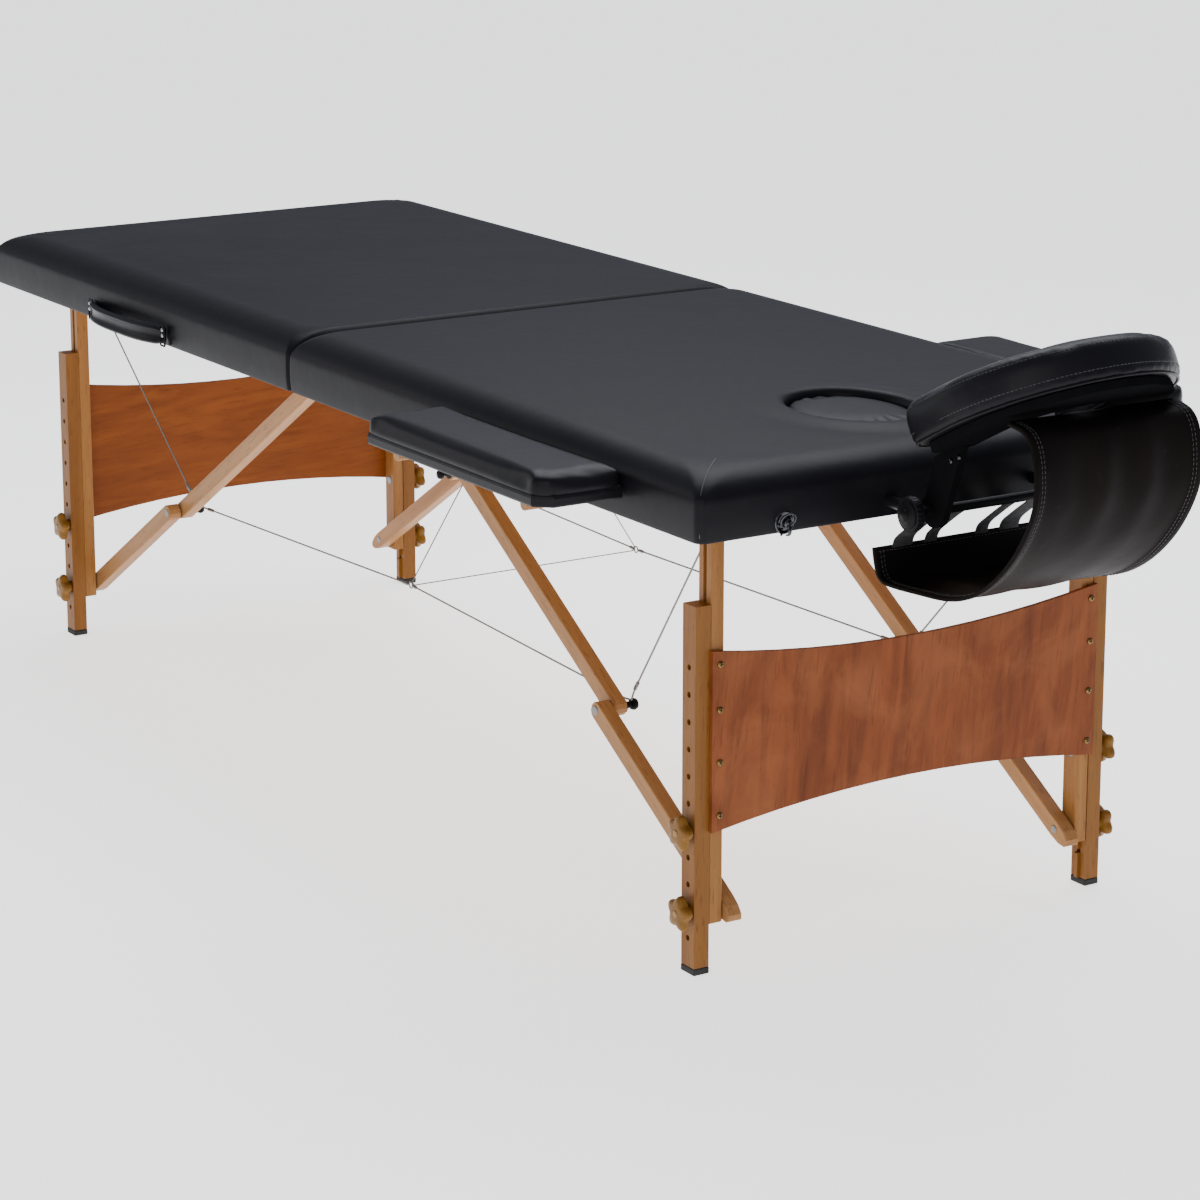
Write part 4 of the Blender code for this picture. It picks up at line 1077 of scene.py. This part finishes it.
def screw(heads, recess_shade, centre, axis, radius):
    """Crosshead screw: a domed head, and a black cross of painted shade where its recess is."""
    centre = Vector(centre)
    axis = Vector(axis).normalized()
    turned(heads, centre, axis, ((radius, 0.0), (radius, 0.18 * radius), (0.86 * radius, 0.40 * radius),
                                 (0.50 * radius, 0.55 * radius), (0.10 * radius, 0.58 * radius)), 20)
    # Painted shade: the recess is not cut; a thin black cross set into the dome stands for its shade.
    side = axis.orthogonal().normalized()
    turn = Matrix.Rotation(0.4 + 37.0 * (centre.z + centre.y), 3, axis)
    side = turn @ side
    other = axis.cross(side)
    for a, b in ((side, other), (other, side)):
        low = centre + axis * (0.50 * radius)
        corners = [low + a * (s * 0.58 * radius) + b * (t * 0.12 * radius) for s, t in
                   ((-1, -1), (1, -1), (1, 1), (-1, 1))]
        add_skin(recess_shade, [corners, [c + axis * (0.13 * radius) for c in corners]])


PANEL_SCREW_Y = 0.2600
PANEL_SCREW_Z = (0.357, 0.305, 0.245, 0.184)


def panel_screws():
    """Four screws at each end of both end panels."""
    for side in (1, -1):
        word = BODIES[side]
        low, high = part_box("end_panel_" + word)
        face = high[0] if side > 0 else low[0]
        heads, recess_shade = bmesh.new(), bmesh.new()
        for hand in (-1, 1):
            for z in PANEL_SCREW_Z:
                screw(heads, recess_shade, (face, hand * PANEL_SCREW_Y, z), (side, 0, 0), 0.0040)
        piece("panel_screws_" + word, heads, BRASS, word + "_legs")
        # The black crosses are painted shade of the screw recesses.
        piece("panel_screw_slots_" + word, recess_shade, BLACK_PLASTIC_AND_RECESS_SHADE, word + "_legs", smooth=False)


def bolt_head(shape, centre, axis, radius, washer=0.0):
    """Round bolt head, on a washer if one is given."""
    start = 0.0
    if washer:
        turned(shape, centre, axis, ((washer, 0.0), (washer, 0.0010), (washer * 0.9, 0.0013)), 24)
        start = 0.0012
    turned(shape, centre, axis, ((radius, start), (radius, start + 0.0012), (0.8 * radius, start + 0.0024),
                                 (0.35 * radius, start + 0.0030)), 24)


LEG_FACE = 0.2514
KNOB_BOLT_Z = 0.1665


def flat_head(shape, centre, axis, radius):
    """Low head that fits the 2 mm between a folded brace and its leg."""
    turned(shape, centre, axis,
           ((radius, 0.0), (radius, 0.0003), (0.8 * radius, 0.0006), (0.28 * radius, 0.0008)), 24)


def pivots():
    """Bolt heads of the knuckles, the lower pins, the upper pins and the knob bolts."""
    for side in (1, -1):
        word = BODIES[side]
        legs, uppers, lowers = bmesh.new(), bmesh.new(), bmesh.new()
        for hand in (-1, 1):
            flat_head(lowers, at(side * KNUCKLE.x, hand * LOWER_BAR[0], KNUCKLE.y), (0, hand, 0), 0.0062)
            flat_head(lowers, at(side * LOWER_PIN.x, hand * LOWER_BAR[1], LOWER_PIN.y), (0, -hand, 0), 0.0050)
            bolt_head(uppers, at(side * UPPER_PIN.x, hand * UPPER_BAR[1], UPPER_PIN.y), (0, -hand, 0), 0.0042,
                      0.0062)
            flat_head(legs, at(side * POST, hand * LEG_FACE, KNOB_BOLT_Z), (0, -hand, 0), 0.0062)
        piece("knob_bolt_heads_" + word, legs, STEEL, word + "_legs")
        piece("upper_pin_heads_" + word, uppers, STEEL, word + "_upper_braces")
        piece("knuckle_heads_" + word, lowers, STEEL, word + "_lower_braces")


CABLE_Y = 0.2039
CABLE_TOP = (0.842, 0.247, 0.556)
JUNCTION = (0.004, 0.174, 0.2445)
KNUCKLE_SLEEVE = ((0.0014, 0.0), (0.0023, 0.0008), (0.0023, 0.0132), (0.0014, 0.0140))
JUNCTION_SLEEVE = ((0.0014, 0.0), (0.0021, 0.0006), (0.0021, 0.0090), (0.0014, 0.0096))


def cable_fittings():
    """Crimped sleeves on the brace cables, and the rings that join them to the middle wire."""
    for side in (1, -1):
        word = BODIES[side]
        shape = bmesh.new()
        for hand in (-1, 1):
            first = at(side * (KNUCKLE.x + 0.014), hand * CABLE_Y, KNUCKLE.y + 0.022)
            toward = at(side * CABLE_TOP[0], hand * CABLE_TOP[1], CABLE_TOP[2])
            way = (toward - first).normalized()
            turned(shape, first + way * 0.001, way, KNUCKLE_SLEEVE, 14)
            second = at(side * (KNUCKLE.x - 0.040), hand * CABLE_Y, KNUCKLE.y + 0.008)
            toward = at(side * JUNCTION[0], hand * JUNCTION[1], JUNCTION[2])
            way = (toward - second).normalized()
            turned(shape, second + way * 0.001, way, KNUCKLE_SLEEVE, 14)
            turned(shape, toward - way * 0.012, way, JUNCTION_SLEEVE, 14)
        piece("cable_sleeves_" + word, shape, STEEL, word + "_upper_braces")
    shape = bmesh.new()
    for hand in (-1, 1):
        centre = at(0.0, hand * 0.1735, JUNCTION[2])
        loop = [centre + Vector((0.0042 * math.cos(t), 0.0, 0.0042 * math.sin(t))) for t in around(20)]
        add_tube(shape, loop, 0.0009, 8, closed=True)
    piece("cable_rings", shape, STEEL, "yoke")


DISC_Y = 0.124
DISC_TEETH = 24


def cradle_fittings():
    """Caps and teeth of the tilt discs, and the screws in the arms of the face cradle."""
    base, moving = bmesh.new(), bmesh.new()
    for hand in (-1, 1):
        centre = TILT_AXIS + Vector((0.0, hand * DISC_Y, 0.0))
        turned(base, centre - Vector((0.0, hand * 0.0032, 0.0)), (0, hand, 0),
               ((0.0150, 0.0), (0.0150, 0.0014), (0.0135, 0.0022), (0.0075, 0.0022), (0.0060, 0.0045),
                (0.0060, 0.0060), (0.0020, 0.0066)), 36)
        for t in around(DISC_TEETH):
            tooth = TILT_AXIS + Vector((0.0182 * math.cos(t), hand * 0.1165, 0.0182 * math.sin(t)))
            turned(base, tooth - Vector((0.0, hand * 0.0042, 0.0)), (0, hand, 0),
                   ((0.0012, 0.0), (0.0012, 0.0084)), 8)
        for x, z in ((0.055, 0.046), (0.070, 0.046)):
            spot = TILT @ Vector((x, hand * 0.0885, z - 0.006))
            turned(moving, spot, (0, hand, 0), ((0.0030, 0.0), (0.0030, 0.0008), (0.0016, 0.0018)), 14)
    piece("cradle_disc_caps", base, BLACK_PLASTIC_AND_RECESS_SHADE, "cradle_mount")
    piece("cradle_arm_screws", moving, NICKEL, "cradle")


LEAF_X = 0.0155
LEAF_Z = 0.5175
LEAF_HALF = 0.28
LEAF_SCREWS = 10


def hinge_screws():
    """Ten screws in each leaf of the middle hinge."""
    for side in (1, -1):
        word = BODIES[side]
        heads, recess_shade = bmesh.new(), bmesh.new()
        for k in range(LEAF_SCREWS):
            y = -LEAF_HALF + 2.0 * LEAF_HALF * k / (LEAF_SCREWS - 1)
            screw(heads, recess_shade, at(side * LEAF_X, y, LEAF_Z), (0, 0, -1), 0.0030)
        piece("hinge_screws_" + word, heads, STEEL, word + "_half")
        # The black crosses are painted shade of the screw recesses.
        piece("hinge_screw_slots_" + word, recess_shade, BLACK_PLASTIC_AND_RECESS_SHADE, word + "_half", smooth=False)


# ---------------------------------------------------------------- finishes of the CAD nodes
def finish_nodes():
    """Finishes of the CAD nodes that stay visible."""
    for side in (1, -1):
        word = BODIES[side]
        wear_node(word + "_frame", RAIL_BEECH)
        wear_node(word + "_deck", DECK_PLY)
        wear_node("hinge_leaf_" + word, STEEL)
        wear_node("end_panel_" + word, HEAD_PLY if side > 0 else FOOT_PLY)
        slope = Vector((side * (LOWER_PIN.x - UPPER_PIN.x), 0.0, LOWER_PIN.y - UPPER_PIN.y)).normalized()
        bar = wood("brace beech " + word, slope, BRACE_PALE, BRACE_DARK)
        for hand in ("near", "far"):
            tag = word + "_" + hand
            wear_node("leg_" + tag, POST_BEECH)
            wear_node("leg_extension_" + tag, EXTENSION_BEECH)
            wear_node("rubber_foot_" + tag, RUBBER)
            wear_node("upper_brace_" + tag, bar)
            wear_node("lower_brace_" + tag, bar)
            wear_node("knuckle_nut_" + tag, BLACK_METAL)
            wear_node("brace_cable_" + tag, CABLE)
    for name, material in (("hinge_pin", STEEL), ("yoke_cable", CABLE), ("armrest_board_near", BOARD_BEECH),
                           ("armrest_board_far", BOARD_BEECH), ("cradle_base", BLACK_METAL),
                           ("cradle_platform", MATT_BLACK)):
        wear_node(name, material)


# ---------------------------------------------------------------- light, floor and camera
def light(name, place, aim, size, power, colour=(1.0, 1.0, 1.0), tall=None):
    """A rectangular soft light aimed at a point."""
    lamp = bpy.data.lights.new(name, "AREA")
    lamp.shape = "RECTANGLE"
    lamp.size = size
    lamp.size_y = tall or size
    lamp.energy = power
    lamp.color = colour
    item = bpy.data.objects.new(name, lamp)
    item.location = place
    item.rotation_euler = (Vector(aim) - Vector(place)).to_track_quat("-Z", "Y").to_euler()
    item.visible_camera = False
    bpy.context.collection.objects.link(item)


def studio():
    """Sky, pale ground and three soft lights."""
    world = bpy.data.worlds.new("studio")
    world.use_nodes = True
    sky = world.node_tree.nodes["Background"].inputs
    sky["Color"].default_value = (0.84, 0.88, 1.0, 1.0)
    sky["Strength"].default_value = 0.42
    bpy.context.scene.world = world
    shape = bmesh.new()
    corners = [shape.verts.new((x, y, -0.0006)) for x, y in ((-14, -9), (9, -9), (9, 12), (-14, 12))]
    shape.faces.new(corners)
    floor = piece("floor", shape, floor_paint("pale floor"), None, smooth=False)
    light("overhead", (-0.6, 1.0, 2.6), (0.0, 0.0, 0.5), 2.6, 60.0, (0.90, 0.93, 1.0), 1.8)
    light("front", (2.6, -2.8, 1.9), (0.1, 0.0, 0.4), 1.6, 24.0, (1.0, 0.98, 0.95))
    light("side", (-2.6, -2.2, 1.6), (0.0, 0.0, 0.4), 1.4, 10.0, (1.0, 0.98, 0.96))


CAMERA_PLACE = (4.0428, -2.4350, 1.4779)
CAMERA_TURN = (1.33865, 0.0, 1.00785)
CAMERA_LENS = 110.7147
CAMERA_SHIFT = -0.10


def camera():
    """Long lens at the head end, a little to the near side and above the table."""
    lens = bpy.data.cameras.new("camera")
    lens.sensor_width = 36.0
    lens.lens = CAMERA_LENS
    lens.shift_y = CAMERA_SHIFT
    lens.clip_end = 50.0
    item = bpy.data.objects.new("camera", lens)
    item.location = at(*CAMERA_PLACE)
    item.rotation_euler = CAMERA_TURN
    bpy.context.collection.objects.link(item)
    bpy.context.scene.camera = item


camera()
studio()
finish_nodes()
for way in (1, -1):
    table_pad(way)
face_plug()
corner_stitching()
for edge_side in (-1, 1):
    armrest(edge_side)
    latch(edge_side)
cradle_cushion()
arm_sling()
carry_handle()
star_knobs()
panel_screws()
pivots()
cable_fittings()
cradle_fittings()
hinge_screws()
